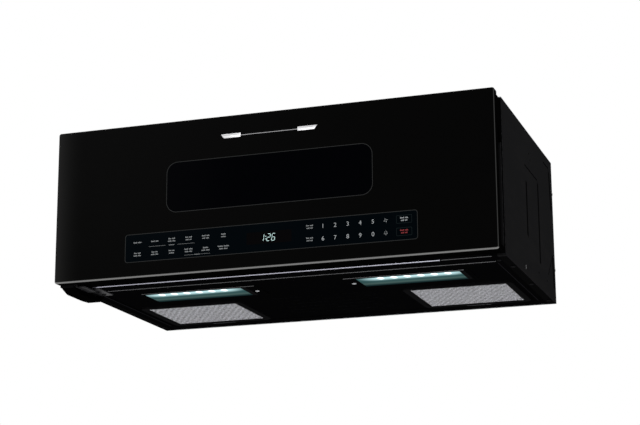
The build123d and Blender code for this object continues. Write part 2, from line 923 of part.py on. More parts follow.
with BuildPart() as cavity_lamp:
    box_right = -half_cavity - sheet
    box_left = box_right - oven_lamp_box_depth
    block((box_left, box_right), around(oven_lamp_y, oven_lamp_half_width),
          around(oven_lamp_z, oven_lamp_half_height))
    block((box_left + oven_lamp_wall, box_right), around(oven_lamp_y, oven_lamp_half_width - oven_lamp_wall),
          around(oven_lamp_z, oven_lamp_half_height - oven_lamp_wall), Mode.SUBTRACT)
    cross_rod((box_right - oven_lamp_socket_reach, box_right - oven_lamp_socket_start), oven_lamp_y,
              oven_lamp_z, oven_lamp_socket_radius)
    with Locations((box_right - bulb_place, oven_lamp_y, oven_lamp_z)):
        Sphere(bulb_radius)
    cross_rod((box_left + sheet, box_right - bulb_place), oven_lamp_y, oven_lamp_z, bulb_neck_radius)
save(cavity_lamp, "cavity_lamp")

# ---------------------------------------------------------------- cooktop lamps, one each side
led_y = case_front + led_behind_front
led_first = lamp_inner + led_first_from_lamp
bezel_level = recess_level - bezel_thickness
lens_level = recess_level - lens_drop
lens_top = recess_level + sheet
led_board_level = lens_top + led_gap + led_height
led_board_top = led_board_level + board_thickness
lamp_box_top = led_board_top + lamp_box_room
lamp_box_x = (lamp_inner - lamp_box_inner, lamp_outer + lamp_box_margin)
lamp_box_y = (lamp_front - lamp_box_margin, lamp_rear + lamp_box_margin)

with BuildPart() as lamp_bezels:
    both_sides((bezel_inner, bezel_outer), (bezel_front, bezel_rear), (bezel_level, recess_level))
    fillet(lamp_bezels.edges().filter_by(Axis.Z), radius=bezel_corner)
    both_sides((lamp_inner, lamp_outer), (lamp_front, lamp_rear), (bezel_level - sheet, recess_top),
               Mode.SUBTRACT)
    for side in (-1, 1):
        post(side * lamp_screw_x, lamp_screw_y, (bezel_level - sheet, recess_top), screw_hole,
             Mode.SUBTRACT)
save(lamp_bezels, "lamp_bezels")

with BuildPart() as lamp_lenses:
    both_sides((lamp_inner + lens_fit, lamp_outer - lens_fit), (lamp_front + lens_fit, lamp_rear - lens_fit),
               (lens_level, recess_level))
    fillet(lamp_lenses.faces().filter_by(Axis.Z).group_by(Axis.Z)[0].edges(), radius=lens_edge)
    lens_reach = lens_flange - lens_fit
    both_sides((lamp_inner - lens_reach, lamp_outer + lens_reach),
               (lamp_front - lens_reach, lamp_rear + lens_reach), (recess_level, lens_top))
save(lamp_lenses, "lamp_lenses")

with BuildPart() as lamp_housings:
    both_sides(lamp_box_x, lamp_box_y, (recess_top, lamp_box_top))
    both_sides((lamp_box_x[0] + lamp_box_wall, lamp_box_x[1] - lamp_box_wall),
               (lamp_box_y[0] + lamp_box_wall, lamp_box_y[1] - lamp_box_wall),
               (recess_top - lamp_box_wall, lamp_box_top - lamp_box_wall), Mode.SUBTRACT)
    both_sides((lamp_screw_x - lamp_ear_inset, lamp_box_x[0]), around(lamp_screw_y, lamp_ear_width / 2),
               (recess_top, recess_top + lamp_box_wall))
    for side in (-1, 1):
        post(side * lamp_screw_x, lamp_screw_y, (recess_top - sheet, recess_top + 2 * lamp_box_wall),
             screw_hole, Mode.SUBTRACT)
        for x in (lamp_inner + lamp_pillar_inset, lamp_outer - lamp_pillar_inset):
            post(side * x, led_y + lamp_pillar_behind_leds,
                 (led_board_top, lamp_box_top - lamp_box_wall / 2), lamp_pillar_radius)
save(lamp_housings, "lamp_housings")

with BuildPart() as lamp_boards:
    both_sides((lamp_inner + lamp_board_inset, lamp_outer - lamp_board_inset),
               (led_y - lamp_board_front, led_y + lamp_board_rear), (led_board_level, led_board_top))
    for side in (-1, 1):
        for i in range(led_count):
            post(side * (led_first + i * led_pitch), led_y, (led_board_level - led_height, led_board_level),
                 led_radius)
save(lamp_boards, "lamp_boards")

# ---------------------------------------------------------------- grease filters, one each side
filter_top = recess_level - filter_gap
filter_bottom = filter_top - filter_thickness
filter_middle = (filter_inner + filter_outer) / 2
net_x = (filter_inner + filter_border, filter_outer - filter_border)
net_y = (filter_front + filter_border, filter_rear - filter_border)


def filter_frame(side):
    """A filter's rim with its pull tab."""
    with BuildPart() as frame:
        block(sided(side, filter_inner, filter_outer), (filter_front, filter_rear),
              (filter_bottom, filter_top))
        fillet(frame.edges().filter_by(Axis.Z), radius=filter_corner)
        chamfer(frame.faces().sort_by(Axis.Z)[0].edges(), length=filter_chamfer)
        block(sided(side, *net_x), net_y, (filter_bottom - cut, filter_top + cut), Mode.SUBTRACT)
        block(sided(side, filter_middle - tab_width / 2, filter_middle + tab_width / 2),
              (net_y[1], net_y[1] + tab_depth), (filter_bottom - tab_drop, filter_bottom + tab_root))
    return frame


def filter_mesh(side):
    """The net that a filter's rim holds."""
    net_width = net_x[1] - net_x[0]
    net_length = net_y[1] - net_y[0]
    pitch_x = net_width / net_columns
    pitch_y = net_length / net_rows
    with BuildPart() as mesh:
        with BuildSketch(Plane.XY.offset(filter_bottom + net_inset)):
            with Locations((side * filter_middle, sum(net_y) / 2)):
                Rectangle(net_width, net_length)
                with GridLocations(pitch_x, pitch_y, net_columns, net_rows):
                    Rectangle(pitch_x - net_bar, pitch_y - net_bar, mode=Mode.SUBTRACT)
        extrude(amount=net_thickness)
    return mesh


for side_name, side in (("left", -1), ("right", 1)):
    save(filter_frame(side), f"{side_name}_filter_frame")
    save(filter_mesh(side), f"{side_name}_filter_mesh")

# ---------------------------------------------------------------- turntable
shaft_low = cavity_floor - shaft_depth
coupler_top = tray_underside - running_gap
lug_circle = coupler_radius - coupler_wall
tray_top = tray_underside + tray_thickness

with BuildPart() as turntable_motor:
    motor_front = tray_centre - motor_radius
    post(0, tray_centre, (cavity_floor - motor_height, cavity_floor), motor_radius)
    block(around(0, motor_radius + motor_ear), around(tray_centre, motor_ear_half_width),
          (cavity_floor - motor_ear_thickness, cavity_floor))
    block(around(0, motor_plug_half_width), (motor_front - motor_plug_reach, motor_front + motor_plug_root),
          (cavity_floor - motor_height, cavity_floor - motor_plug_drop))
    post(0, tray_centre, (shaft_low, cavity_floor + cut), shaft_radius + shaft_fit, Mode.SUBTRACT)
save(turntable_motor, "turntable_motor")

with BuildPart() as turntable_shaft:
    post(0, tray_centre, (shaft_low + running_gap, coupler_top - coupler_cap), shaft_radius)
save(turntable_shaft, "turntable_shaft")

with BuildPart() as turntable_coupler:
    post(0, tray_centre, (floor_top + coupler_gap, coupler_top), lug_circle)
    with Locations((0, tray_centre, coupler_top - lug_height)):
        with PolarLocations(lug_circle, lug_count):
            Box(lug_length, lug_width, 2 * (lug_height - lug_step))
    post(0, tray_centre, (floor_top, coupler_top - coupler_cap), shaft_radius, Mode.SUBTRACT)
save(turntable_coupler, "turntable_coupler")

with BuildPart() as glass_tray:
    with BuildSketch(Plane.XZ.offset(-tray_centre)):
        with BuildLine():
            Polyline(
                (0, tray_underside),
                (tray_radius - tray_foot_inset, tray_underside),
                (tray_radius, tray_underside + tray_rim),
                (tray_radius, tray_top + tray_rim),
                (tray_radius - tray_lip, tray_top + tray_rim),
                (tray_radius - tray_bowl_inset, tray_top),
                (0, tray_top),
                close=True,
            )
        make_face()
    revolve(axis=Axis((0, tray_centre, 0), (0, 0, 1)))
save(glass_tray, "glass_tray")

roller_outer = roller_circle + roller_width / 2
spokes = [
    Plane(
        origin=(0, tray_centre, roller_axis),
        z_dir=(math.cos(turn), math.sin(turn), 0),
    )
    for turn in (math.radians(90 + i * 360 / roller_count) for i in range(roller_count))
]
with BuildPart() as roller_ring:
    post(0, tray_centre, around(roller_axis, ring_thickness / 2), ring_radius + ring_width / 2)
    post(0, tray_centre, around(roller_axis, ring_thickness), ring_radius - ring_width / 2, Mode.SUBTRACT)
    for spoke in spokes:
        with BuildSketch(spoke.offset(ring_radius)):
            Circle(roller_pin_radius)
        extrude(amount=roller_outer + peg_overhang - ring_radius)
        with BuildSketch(spoke.offset(roller_outer + running_gap)):
            Circle(roller_pin_radius + peg_collar)
        extrude(amount=peg_collar_width)
save(roller_ring, "roller_ring")

for number, spoke in enumerate(spokes, start=1):
    with BuildPart() as roller:
        with BuildSketch(spoke.offset(roller_circle - roller_width / 2)):
            Circle(roller_radius)
            Circle(roller_pin_radius + shaft_fit, mode=Mode.SUBTRACT)
        extrude(amount=roller_width)
    save(roller, f"roller_{number}")

# ---------------------------------------------------------------- high-voltage supply and boards
with BuildPart() as high_voltage_transformer:
    core_x = (half_inside - core_clearance - core_width, half_inside - core_clearance)
    coil_y = (recess_front + core_behind_recess, recess_front + core_behind_recess + core_depth)
    block(core_x, (coil_y[0] + coil_overhang, coil_y[1] - coil_overhang),
          (recess_top, recess_top + core_height))
    block((core_x[0] + coil_side_inset, core_x[1] - coil_side_inset), coil_y,
          (recess_top + coil_end_inset, recess_top + core_height - coil_end_inset))
    for end in (0, -1):
        coil_face = high_voltage_transformer.faces().sort_by(Axis.Y)[end]
        fillet(coil_face.edges().filter_by(Axis.Z), radius=coil_radius)
save(high_voltage_transformer, "high_voltage_transformer")

capacitor_front = fan_rear + capacitor_behind_fan
capacitor_y = (capacitor_front, capacitor_front + capacitor_width)
capacitor_top = capacitor_base + capacitor_height
clamp_z = (clamp_base, clamp_base + clamp_height)
with BuildPart() as high_voltage_capacitor:
    capacitor_left = half_inside - capacitor_thickness
    block((capacitor_left, half_inside), capacitor_y, (capacitor_base, capacitor_top))
    fillet(high_voltage_capacitor.edges().filter_by(Axis.Z).group_by(Axis.X)[0], radius=capacitor_radius)
    for y in around(sum(capacitor_y) / 2, capacitor_terminal_pitch / 2):
        post(half_inside - capacitor_thickness / 2, y,
             (capacitor_top, capacitor_top + capacitor_terminal_height), capacitor_terminal_radius)

with BuildPart() as capacitor_clamp:
    block((capacitor_left - sheet, half_inside), (capacitor_y[0] - sheet, capacitor_y[1] + sheet), clamp_z)
    block((capacitor_left, half_inside + cut), capacitor_y, (clamp_z[0] - cut, clamp_z[1] + cut),
          Mode.SUBTRACT)
    for ear_y in ((capacitor_y[0] - clamp_ear, capacitor_y[0] - sheet),
                  (capacitor_y[1] + sheet, capacitor_y[1] + clamp_ear)):
        block((half_inside - sheet, half_inside), ear_y, clamp_z)

with BuildPart() as clamped_capacitor:
    add(high_voltage_capacitor.part)
    add(capacitor_clamp.part)
save(clamped_capacitor, "high_voltage_capacitor")

board_front = case_front + power_board_from_front
board_y = (board_front, board_front + power_board_length)
board_high = case_top_inside - power_board_below_top
board_low = board_high - power_board_height
board_left = -half_inside + standoff
parts_left = board_left + board_thickness


def on_power_board(from_front, length, low, height, depth):
    """A box standing on the power board."""
    front = board_front + from_front
    block((parts_left, parts_left + depth), (front, front + length), (low, low + height))


with BuildPart() as power_board:
    block((board_left, parts_left), board_y, (board_low, board_high))
    for y in (board_y[0] + standoff_inset, board_y[1] - standoff_inset):
        for z in (board_low + standoff_inset, board_high - standoff_inset):
            cross_rod((-half_inside, board_left), y, z, standoff_radius)
    for i in range(relay_count):
        on_power_board(relay_from_front + i * relay_pitch, relay_length,
                       board_high - relay_below_top - relay_height, relay_height, relay_depth)
    on_power_board(board_core_from_front, board_core_length, board_low + board_core_rise,
                   board_core_height, board_core_depth)
    for i in range(can_count):
        cross_rod((parts_left, parts_left + can_depth), board_front + can_from_front + i * can_pitch,
                  board_low + can_rise, can_radius)
    for i in range(plug_count):
        on_power_board(plug_from_front + i * plug_pitch, plug_length, board_low + plug_rise,
                       plug_height, plug_depth)
save(power_board, "power_board")

# ---------------------------------------------------------------- magnetron cooling fan
fan_x = half_cavity + sheet + fan_size / 2
fan_z = fan_height
with BuildPart() as cooling_fan_shroud:
    block(around(fan_x, fan_size / 2), (fan_front, fan_rear), around(fan_z, fan_size / 2))
    depth_rod(fan_x, (fan_front - cut, fan_rear + cut), fan_z, fan_bore, Mode.SUBTRACT)
    for angle in (0, 90):
        with Locations(Location((fan_x, fan_rear - fan_strut_thickness / 2, fan_z), (0, angle, 0))):
            Box(2 * (fan_bore + fan_strut_root), fan_strut_thickness, fan_strut_width)
    depth_rod(fan_x, (fan_rear - fan_strut_thickness, fan_rear + fan_motor_length), fan_z,
              fan_motor_radius)
    depth_rod(fan_x, (fan_rear - fan_strut_thickness - cut, fan_rear + fan_shaft_length + cut), fan_z,
              fan_shaft + shaft_fit, Mode.SUBTRACT)
save(cooling_fan_shroud, "cooling_fan_shroud")

with BuildPart() as cooling_fan_blade:
    hub_y = (fan_front + fan_front_gap, fan_rear - fan_rear_gap)
    depth_rod(fan_x, hub_y, fan_z, fan_hub)
    depth_rod(fan_x, (hub_y[1], fan_rear + fan_shaft_length), fan_z, fan_shaft)
    for i in range(fan_blades):
        turn = math.radians(i * 360 / fan_blades)
        spoke = Plane(
            origin=(fan_x, sum(hub_y) / 2, fan_z),
            x_dir=(0, 1, 0),
            z_dir=(math.cos(turn), 0, math.sin(turn)),
        )
        with BuildSketch(spoke.offset(fan_hub - fan_blade_root)):
            Rectangle(fan_chord, fan_blade_thickness, rotation=fan_root_pitch)
        with BuildSketch(spoke.offset(fan_radius - fan_tip_gap)):
            Rectangle(fan_chord, fan_blade_thickness, rotation=fan_tip_pitch)
        loft()
save(cooling_fan_blade, "cooling_fan_blade")

# ---------------------------------------------------------------- hood blower and exhaust
blower_y = sum(exhaust_y) / 2
scroll_radius = duct_depth / 2
blower_half = duct_width / 2
wheel_inner = blower_motor_half + blower_motor_gap
wheel_outer = wheel_inner + blower_length
blower_axis = (blower_y, blower_axis_height)


def scroll(reach, radius, top, mode=Mode.ADD):
    """The blower's round volute with its neck going up to a height."""
    with BuildSketch(Plane.YZ.offset(-reach)) as outline:
        with Locations(blower_axis):
            Circle(radius)
        with Locations((blower_y, (blower_axis_height + top) / 2)):
            Rectangle(2 * radius, top - blower_axis_height)
    extrude(outline.sketch, amount=2 * reach, mode=mode)


with BuildPart() as blower_housing:
    scroll(blower_half + blower_wall, scroll_radius + blower_wall, case_top_inside)
    scroll(blower_half, scroll_radius, case_top_inside + cut, Mode.SUBTRACT)
    cross_rod(around(0, blower_half + 2 * blower_wall), *blower_axis, blower_inlet_radius, Mode.SUBTRACT)
    tongue_low = blower_axis_height + blower_tongue_rise
    block(around(0, blower_half), (exhaust_y[0], exhaust_y[0] + blower_tongue_depth),
          (tongue_low, tongue_low + blower_tongue_height))
save(blower_housing, "blower_housing")

with BuildPart() as blower_motor:
    cross_rod(around(0, blower_motor_half), *blower_axis, blower_motor_radius)
    fillet(blower_motor.edges().filter_by(GeomType.CIRCLE), radius=blower_motor_edge)
    block(around(0, blower_leg_half_width), (blower_y, blower_back),
          (blower_axis_height, blower_axis_height + blower_leg_height))
    cross_rod(around(0, blower_motor_half + cut), *blower_axis, blower_shaft_radius + shaft_fit,
              Mode.SUBTRACT)
save(blower_motor, "blower_motor")

with BuildPart() as blower_shaft:
    cross_rod(around(0, wheel_inner + wheel_hub + wheel_shaft_overhang), *blower_axis, blower_shaft_radius)
save(blower_shaft, "blower_shaft")

with BuildPart() as blower_wheels:
    end_ring = wheel_outer - 2 * wheel_disc
    blade_circle = blower_radius - wheel_blade_depth / 2
    for side in (-1, 1):
        cross_rod(sided(side, wheel_inner, wheel_inner + wheel_disc), *blower_axis, blower_radius)
        cross_rod(sided(side, wheel_inner, wheel_inner + wheel_hub), *blower_axis, wheel_hub_radius)
        cross_rod(sided(side, wheel_inner - cut, wheel_inner + wheel_hub + cut), *blower_axis,
                  blower_shaft_radius, Mode.SUBTRACT)
        cross_rod(sided(side, end_ring, wheel_outer), *blower_axis, blower_radius)
        cross_rod(sided(side, end_ring - cut, wheel_outer + cut), *blower_axis,
                  blower_radius - wheel_blade_depth, Mode.SUBTRACT)
        wheel_middle = side * (wheel_inner + wheel_outer) / 2
        for i in range(blade_count):
            around_axis = Location((wheel_middle, *blower_axis), (i * 360 / blade_count, 0, 0))
            with Locations(around_axis * Location((0, blade_circle, 0), (wheel_blade_lean, 0, 0))):
                Box(blower_length - wheel_disc, wheel_blade_depth - wheel_blade_thickness,
                    wheel_blade_thickness)
save(blower_wheels, "blower_wheels")

collar_half = duct_width / 2 - collar_inset
collar_top = cabinet_height + collar_height
collar_inside_x = around(0, collar_half - collar_wall)
collar_inside_y = (exhaust_y[0] + collar_wall, exhaust_y[1] - collar_wall)
flap_hinge_y = collar_inside_y[1] - flap_from_back
flap_hinge_z = cabinet_height + flap_height
with BuildPart() as exhaust_collar:
    block(around(0, collar_half + collar_base), (exhaust_y[0] - collar_base, -sheet),
          (cabinet_height, cabinet_height + collar_base_thickness))
    block(around(0, collar_half), exhaust_y, (cabinet_height, collar_top))
    block(collar_inside_x, collar_inside_y, (cabinet_height - cut, collar_top + cut), Mode.SUBTRACT)
    stop_top = flap_hinge_z - flap_thickness / 2 - running_gap
    block(collar_inside_x, (collar_inside_y[0], collar_inside_y[0] + flap_stop),
          (stop_top - flap_stop_thickness, stop_top))
    cross_rod(around(0, collar_half + cut), flap_hinge_y, flap_hinge_z, flap_pin + shaft_fit, Mode.SUBTRACT)
save(exhaust_collar, "exhaust_collar")

with BuildPart() as damper_flap:
    block(around(0, collar_inside_x[1] - flap_gap), (collar_inside_y[0] + flap_gap, flap_hinge_y),
          around(flap_hinge_z, flap_thickness / 2))
    cross_rod(around(0, collar_half - flap_pin_short), flap_hinge_y, flap_hinge_z, flap_pin)
save(damper_flap, "damper_flap")

with BuildPart() as cord_gland:
    gland_low = case_top_inside - gland_depth
    gland_high = cabinet_height + gland_rise
    post(gland_x, gland_y, (cabinet_height, cabinet_height + gland_flange), gland_radius + gland_flange)
    post(gland_x, gland_y, (gland_low, gland_high), gland_radius - screw_fit)
    post(gland_x, gland_y, (case_top_inside - gland_nut, case_top_inside), gland_radius + gland_flange)
    post(gland_x, gland_y, (gland_low - cut, gland_high + cut), cord_radius, Mode.SUBTRACT)
    fillet(cord_gland.edges().filter_by(GeomType.CIRCLE).group_by(Axis.Z)[-1], radius=gland_edge)
save(cord_gland, "cord_gland")

# ---------------------------------------------------------------- door hinge and latch, on the cabinet
pin_top = frame_underside + bush_length - pin_short
upper_pin_low = frame_top - bush_length + pin_short
with BuildPart() as upper_hinge_bracket:
    block((arm_left, arm_right), (hinge_y, front_plate_back), (upper_plate_low, upper_plate_high))
    post(hinge_x, hinge_y, (upper_plate_low, upper_plate_high), eye_radius)
    with BuildSketch(Plane.XY.offset(upper_plate_low)):
        with BuildLine():
            Polyline(
                (hinge_x, hinge_y - eye_radius),
                (arm_right, hinge_y),
                (hinge_x, hinge_y + arm_gusset),
                close=True,
            )
        make_face()
    extrude(amount=bracket_plate)
    block((arm_left, arm_right), (front_plate_back, front_plate_back + bracket_plate),
          (upper_flange_low, upper_plate_high))
    post(hinge_x, hinge_y, (upper_pin_low, upper_plate_low), pin_radius)
    depth_rod(hinge_screw_x, (front_plate_back - cut, front_plate_back + bracket_plate + cut),
              hinge_screw_z, screw_hole, Mode.SUBTRACT)
save(upper_hinge_bracket, "upper_hinge_bracket")

arm_level = -(arm_drop + bracket_plate)
arm_plate = (arm_level, arm_level + bracket_plate)
bracket_end = step_y + bracket_foot_length
with BuildPart() as lower_hinge_bracket:
    block((arm_left, arm_right), (hinge_y, step_y + bracket_plate), arm_plate)
    post(hinge_x, hinge_y, arm_plate, eye_radius)
    block((arm_left, arm_right), (step_y, step_y + bracket_plate), (arm_level, rim_level))
    block((arm_left, arm_right + bracket_foot_width), (step_y, bracket_end),
          (rim_level - bracket_plate, rim_level))
    post(hinge_x, hinge_y, (arm_plate[1], frame_underside - bush_flange - running_gap), collar_radius)
    post(hinge_x, hinge_y, (arm_plate[1], pin_top), pin_radius)
    chamfer(lower_hinge_bracket.faces().sort_by(Axis.Z)[-1].edges(), length=pin_chamfer)
    for y in bracket_screw_ys:
        post(bracket_screw_x, y, (arm_level, rim_level + cut), screw_hole, Mode.SUBTRACT)
save(lower_hinge_bracket, "lower_hinge_bracket")

cover_left = -half_width + cover_from_side
cover_right = cover_left + cover_width
cover_front = door_face + cover_behind_face
cover_rear = bracket_end + cover_behind_foot
cover_low = -cover_drop
cover_top = panel_bottom - cover_gap


def cover_outline(floor, end, slope, over):
    """Corners of the hinge cover from the side, or of its hollow when wall thicknesses are given."""
    return [
        (cover_front + end, cover_top + over),
        (step_y - cover_step_gap - over, cover_top + over),
        (step_y - cover_step_gap - over, over),
        (cover_rear - end, over),
        (cover_rear - end, -cover_tail - over),
        (cover_rear - cover_rear_slope - slope, cover_low + cover_heel + floor),
        (cover_rear - cover_rear_run, cover_low + floor),
        (cover_front + cover_front_run, cover_low + floor),
        (cover_front + cover_front_slope + slope, cover_low + cover_toe + floor),
    ]


with BuildPart() as lower_hinge_cover:
    with BuildSketch(Plane.YZ.offset(cover_left)):
        with BuildLine():
            Polyline(*cover_outline(0, 0, 0, 0), close=True)
        make_face()
    extrude(amount=cover_width)
    cover_corner = lower_hinge_cover.faces().sort_by(Axis.X)[0].edges().filter_by_position(
        Axis.Z, cover_low - cut, cover_top - cut
    )
    fillet(cover_corner, radius=cover_corner_radius)
    with BuildSketch(Plane.YZ.offset(cover_left + cover_wall)):
        with BuildLine():
            Polyline(*cover_outline(cover_wall, cover_end_wall, cover_slope_wall, cut), close=True)
        make_face()
    extrude(amount=cover_width - 2 * cover_wall, mode=Mode.SUBTRACT)
    block((arm_left - cover_beside_arm, cover_right + cut), (cover_front, bracket_end + cover_foot_gap),
          (arm_level - cover_under_arm, 2 * cut), Mode.SUBTRACT)
    for i in range(cover_slot_count):
        y = cover_front + cover_slot_first + i * cover_slot_pitch
        block((cover_left - cut, cover_left + cover_slot_depth), (y, y + cover_slot_width),
              (cover_low + cover_slot_low, cover_top - cover_slot_high), Mode.SUBTRACT)
save(lower_hinge_cover, "lower_hinge_cover")

housing_x = around(latch_x, housing_half)
housing_rear = front_plate_back + housing_depth
with BuildPart() as latch_housing:
    block(housing_x, (front_plate_back, housing_rear),
          (hook_places[0] - housing_below, hook_places[1] + housing_above))
    for slot in hook_slots:
        block((slot_sides[0] - housing_slot_gap, slot_sides[1] + housing_slot_gap),
              (front_plate_back, housing_rear - housing_wall), slot, Mode.SUBTRACT)
    block((housing_x[0] + housing_wall, housing_x[1] - housing_wall),
          (front_plate_back + housing_wall, housing_rear + cut),
          (hook_slots[0][1] + housing_bridge, hook_slots[1][0] - housing_bridge), Mode.SUBTRACT)
save(latch_housing, "latch_housing")

switch_right = housing_x[1] + switch_thickness
with BuildPart() as interlock_switches:
    for z in (hook_places[0] + switch_lift, sum(hook_places) / 2, hook_places[1] + switch_lift):
        block((housing_x[1], switch_right), (housing_rear - switch_depth, housing_rear),
              around(z, switch_height / 2))
        for i in (-1, 0, 1):
            block((housing_x[1] + terminal_inset, housing_x[1] + terminal_inset + terminal_thickness),
                  (housing_rear, housing_rear + terminal_length),
                  around(z + i * terminal_pitch, terminal_width / 2))
save(interlock_switches, "interlock_switches")

# ---------------------------------------------------------------- door
board_face = panel_back + glass_flange_thickness


def opening_in_front(width, height, centre, radius, depth_from, depth_to, mode=Mode.ADD):
    """A rounded rectangle in the door's front, carried from one depth to another."""
    with BuildSketch(Plane.XZ.offset(-depth_from)) as outline:
        with Locations((0, centre)):
            RectangleRounded(width, height, radius)
    extrude(outline.sketch, amount=-(depth_to - depth_from), mode=mode)


def inlaid_glass(width, height, centre, radius, reach):
    """A pane set flush in the door's front, with a wider flange behind the panel."""
    opening_in_front(width - 2 * inlay_gap, height - 2 * inlay_gap, centre, radius - inlay_gap,
                     door_face + glass_sunk, panel_back)
    opening_in_front(width + 2 * reach, height + 2 * reach, centre, radius, panel_back, board_face)


with BuildPart() as door_front_panel:
    block((-half_panel, half_panel), (door_face, door_face + panel_skirt), (panel_bottom, panel_top))
    fillet(door_front_panel.edges().filter_by(Axis.Y), radius=panel_corner)
    fillet(door_front_panel.faces().sort_by(Axis.Y)[0].edges(), radius=panel_edge)
    block(around(0, half_panel - skirt_wall), (panel_back, door_face + panel_skirt + cut),
          (panel_bottom + skirt_wall, panel_top - skirt_wall), Mode.SUBTRACT)
    opening_in_front(window_width, window_height, window_centre, window_radius, door_face - cut,
                     panel_back + cut, Mode.SUBTRACT)
    opening_in_front(control_width, control_height, control_centre, control_radius, door_face - cut,
                     panel_back + cut, Mode.SUBTRACT)
save(door_front_panel, "door_front_panel")

with BuildPart() as window_glass:
    inlaid_glass(window_width, window_height, window_centre, window_radius, window_flange)
save(window_glass, "window_glass")

with BuildPart() as control_glass:
    inlaid_glass(control_width, control_height, control_centre, control_radius, control_flange)
save(control_glass, "control_glass")

board_half = control_width / 2 - control_board_inset
board_back = board_face + board_thickness


def on_control_board(x, width, z, height, depth):
    """A box standing on the back of the control board."""
    block(around(x, width / 2), (board_back, board_back + depth), around(z, height / 2))


with BuildPart() as control_board:
    block(around(0, board_half), (board_face, board_back), around(control_centre, control_board_height / 2))
    for i in (-2, -1, 1, 2):
        on_control_board(i * chip_pitch, chip_size, control_centre, chip_length, chip_thickness)
    on_control_board(board_half - connector_from_end, connector_width, control_centre - connector_below,
                     connector_height, connector_depth)
    depth_rod(buzzer_from_end - board_half, (board_back, board_back + buzzer_depth), control_centre,
              buzzer_radius)
    on_control_board(display_aside, display_width, control_centre, display_height, display_depth)
save(control_board, "control_board")

hollow_right = pocket_x - frame_wall
hollow_z = (frame_underside + frame_wall, frame_top - frame_wall)
skirt_rear = door_face + panel_skirt
bush_outer = pin_radius + pin_fit + bush_wall
boss_half = bush_outer + boss_wall
choke_half = half_cavity + choke_beside_cavity
choke_z = (cavity_floor - choke_below_floor, roof_inside + choke_above_cavity)
through_web = (web_front - cut, frame_back + cut)
pocket_top_rear = frame_top - pocket_below_top_rear
pocket_top_front = frame_top - pocket_below_top_front
with BuildPart() as door_frame:
    block((frame_left, frame_right), (frame_front, frame_back), (frame_underside, frame_top))
    block((frame_left + frame_wall, hollow_right), (frame_front - cut, web_front), hollow_z, Mode.SUBTRACT)
    with BuildSketch(Plane.YZ.offset(pocket_x)):
        with BuildLine():
            Polyline(
                (skirt_rear, pocket_bottom),
                (frame_back + cut, pocket_bottom),
                (frame_back + cut, pocket_top_rear),
                (skirt_rear, pocket_top_front),
                close=True,
            )
        make_face()
    extrude(amount=pocket_depth + cut, mode=Mode.SUBTRACT)
    block((pocket_x, frame_right - frame_wall), (frame_front - cut, skirt_rear - frame_wall), hollow_z,
          Mode.SUBTRACT)
    block((pocket_x, frame_right - frame_wall), (frame_front - cut, web_front),
          (pocket_top_front + frame_wall, hollow_z[1]), Mode.SUBTRACT)
    block(around(0, choke_half), through_web, choke_z, Mode.SUBTRACT)
    for slot in hook_slots:
        block(around(latch_x, latch_thickness / 2 + web_slot_gap), through_web, slot, Mode.SUBTRACT)
    for z in ((frame_underside, frame_underside + bush_length + boss_floor),
              (frame_top - bush_length - boss_floor, frame_top)):
        block((frame_left, hinge_x + boss_half), around(hinge_y, boss_half), z)
        post(hinge_x, hinge_y, (z[0] - cut, z[1] + cut), bush_outer, Mode.SUBTRACT)
    for x, z in door_screw_places:
        depth_rod(x, through_web, z, screw_hole, Mode.SUBTRACT)
save(door_frame, "door_frame")

with BuildPart() as hinge_bushes:
    for outside, sign in ((frame_underside, -1), (frame_top, 1)):
        post(hinge_x, hinge_y, sorted((outside, outside - sign * bush_length)), bush_outer)
        post(hinge_x, hinge_y, sorted((outside, outside + sign * bush_flange)),
             bush_outer + bush_flange_reach)
    post(hinge_x, hinge_y, (frame_underside - 2 * cut, frame_top + 2 * cut), pin_radius + pin_fit,
         Mode.SUBTRACT)
save(hinge_bushes, "hinge_bushes")

choke_face = door_back + choke_rise
tray_floor = choke_face - choke_depth
glass_back = tray_floor + choke_wall
sight_width = window_width - 2 * sight_inset_x
sight_height = window_height - 2 * sight_inset_z


def choke_box(inset, depth_from, depth_to, mode=Mode.ADD):
    """A box the shape of the choke tray, set in from its outline."""
    block(around(0, choke_half - inset), (depth_from, depth_to),
          (choke_z[0] + inset, choke_z[1] - inset), mode)


with BuildPart() as choke_frame:
    choke_box(0, tray_floor, choke_face)
    choke_box(choke_wall, glass_back, choke_face + cut, Mode.SUBTRACT)
    choke_box(choke_ring, glass_back, choke_face - choke_ring_step)
    choke_box(choke_ring + choke_wall, glass_back, choke_face, Mode.SUBTRACT)
    opening_in_front(sight_width, sight_height, window_centre, window_radius - sight_corner_step,
                     tray_floor - cut, glass_back + cut, Mode.SUBTRACT)
save(choke_frame, "choke_frame")

with BuildPart() as choke_cover:
    choke_box(choke_wall, choke_face - choke_ring_step, choke_face - choke_cover_seat)
    choke_box(choke_ring, choke_face - choke_ring_step - cut, choke_face + cut, Mode.SUBTRACT)
save(choke_cover, "choke_cover")

with BuildPart() as window_screen:
    with BuildSketch(Plane.XZ.offset(screen_thickness - tray_floor)):
        with Locations((0, window_centre)):
            RectangleRounded(sight_width + 2 * screen_border_x, sight_height + 2 * screen_border_z,
                             screen_corner)
            with GridLocations((sight_width - 2 * screen_margin_x) / screen_columns,
                               (sight_height - 2 * screen_margin_z) / screen_rows,
                               screen_columns, screen_rows):
                Circle(screen_hole, mode=Mode.SUBTRACT)
    extrude(amount=-screen_thickness)
save(window_screen, "window_screen")

with BuildPart() as inner_glass:
    choke_box(choke_ring + choke_wall, glass_back, glass_back + inner_glass_thickness)
save(inner_glass, "inner_glass")

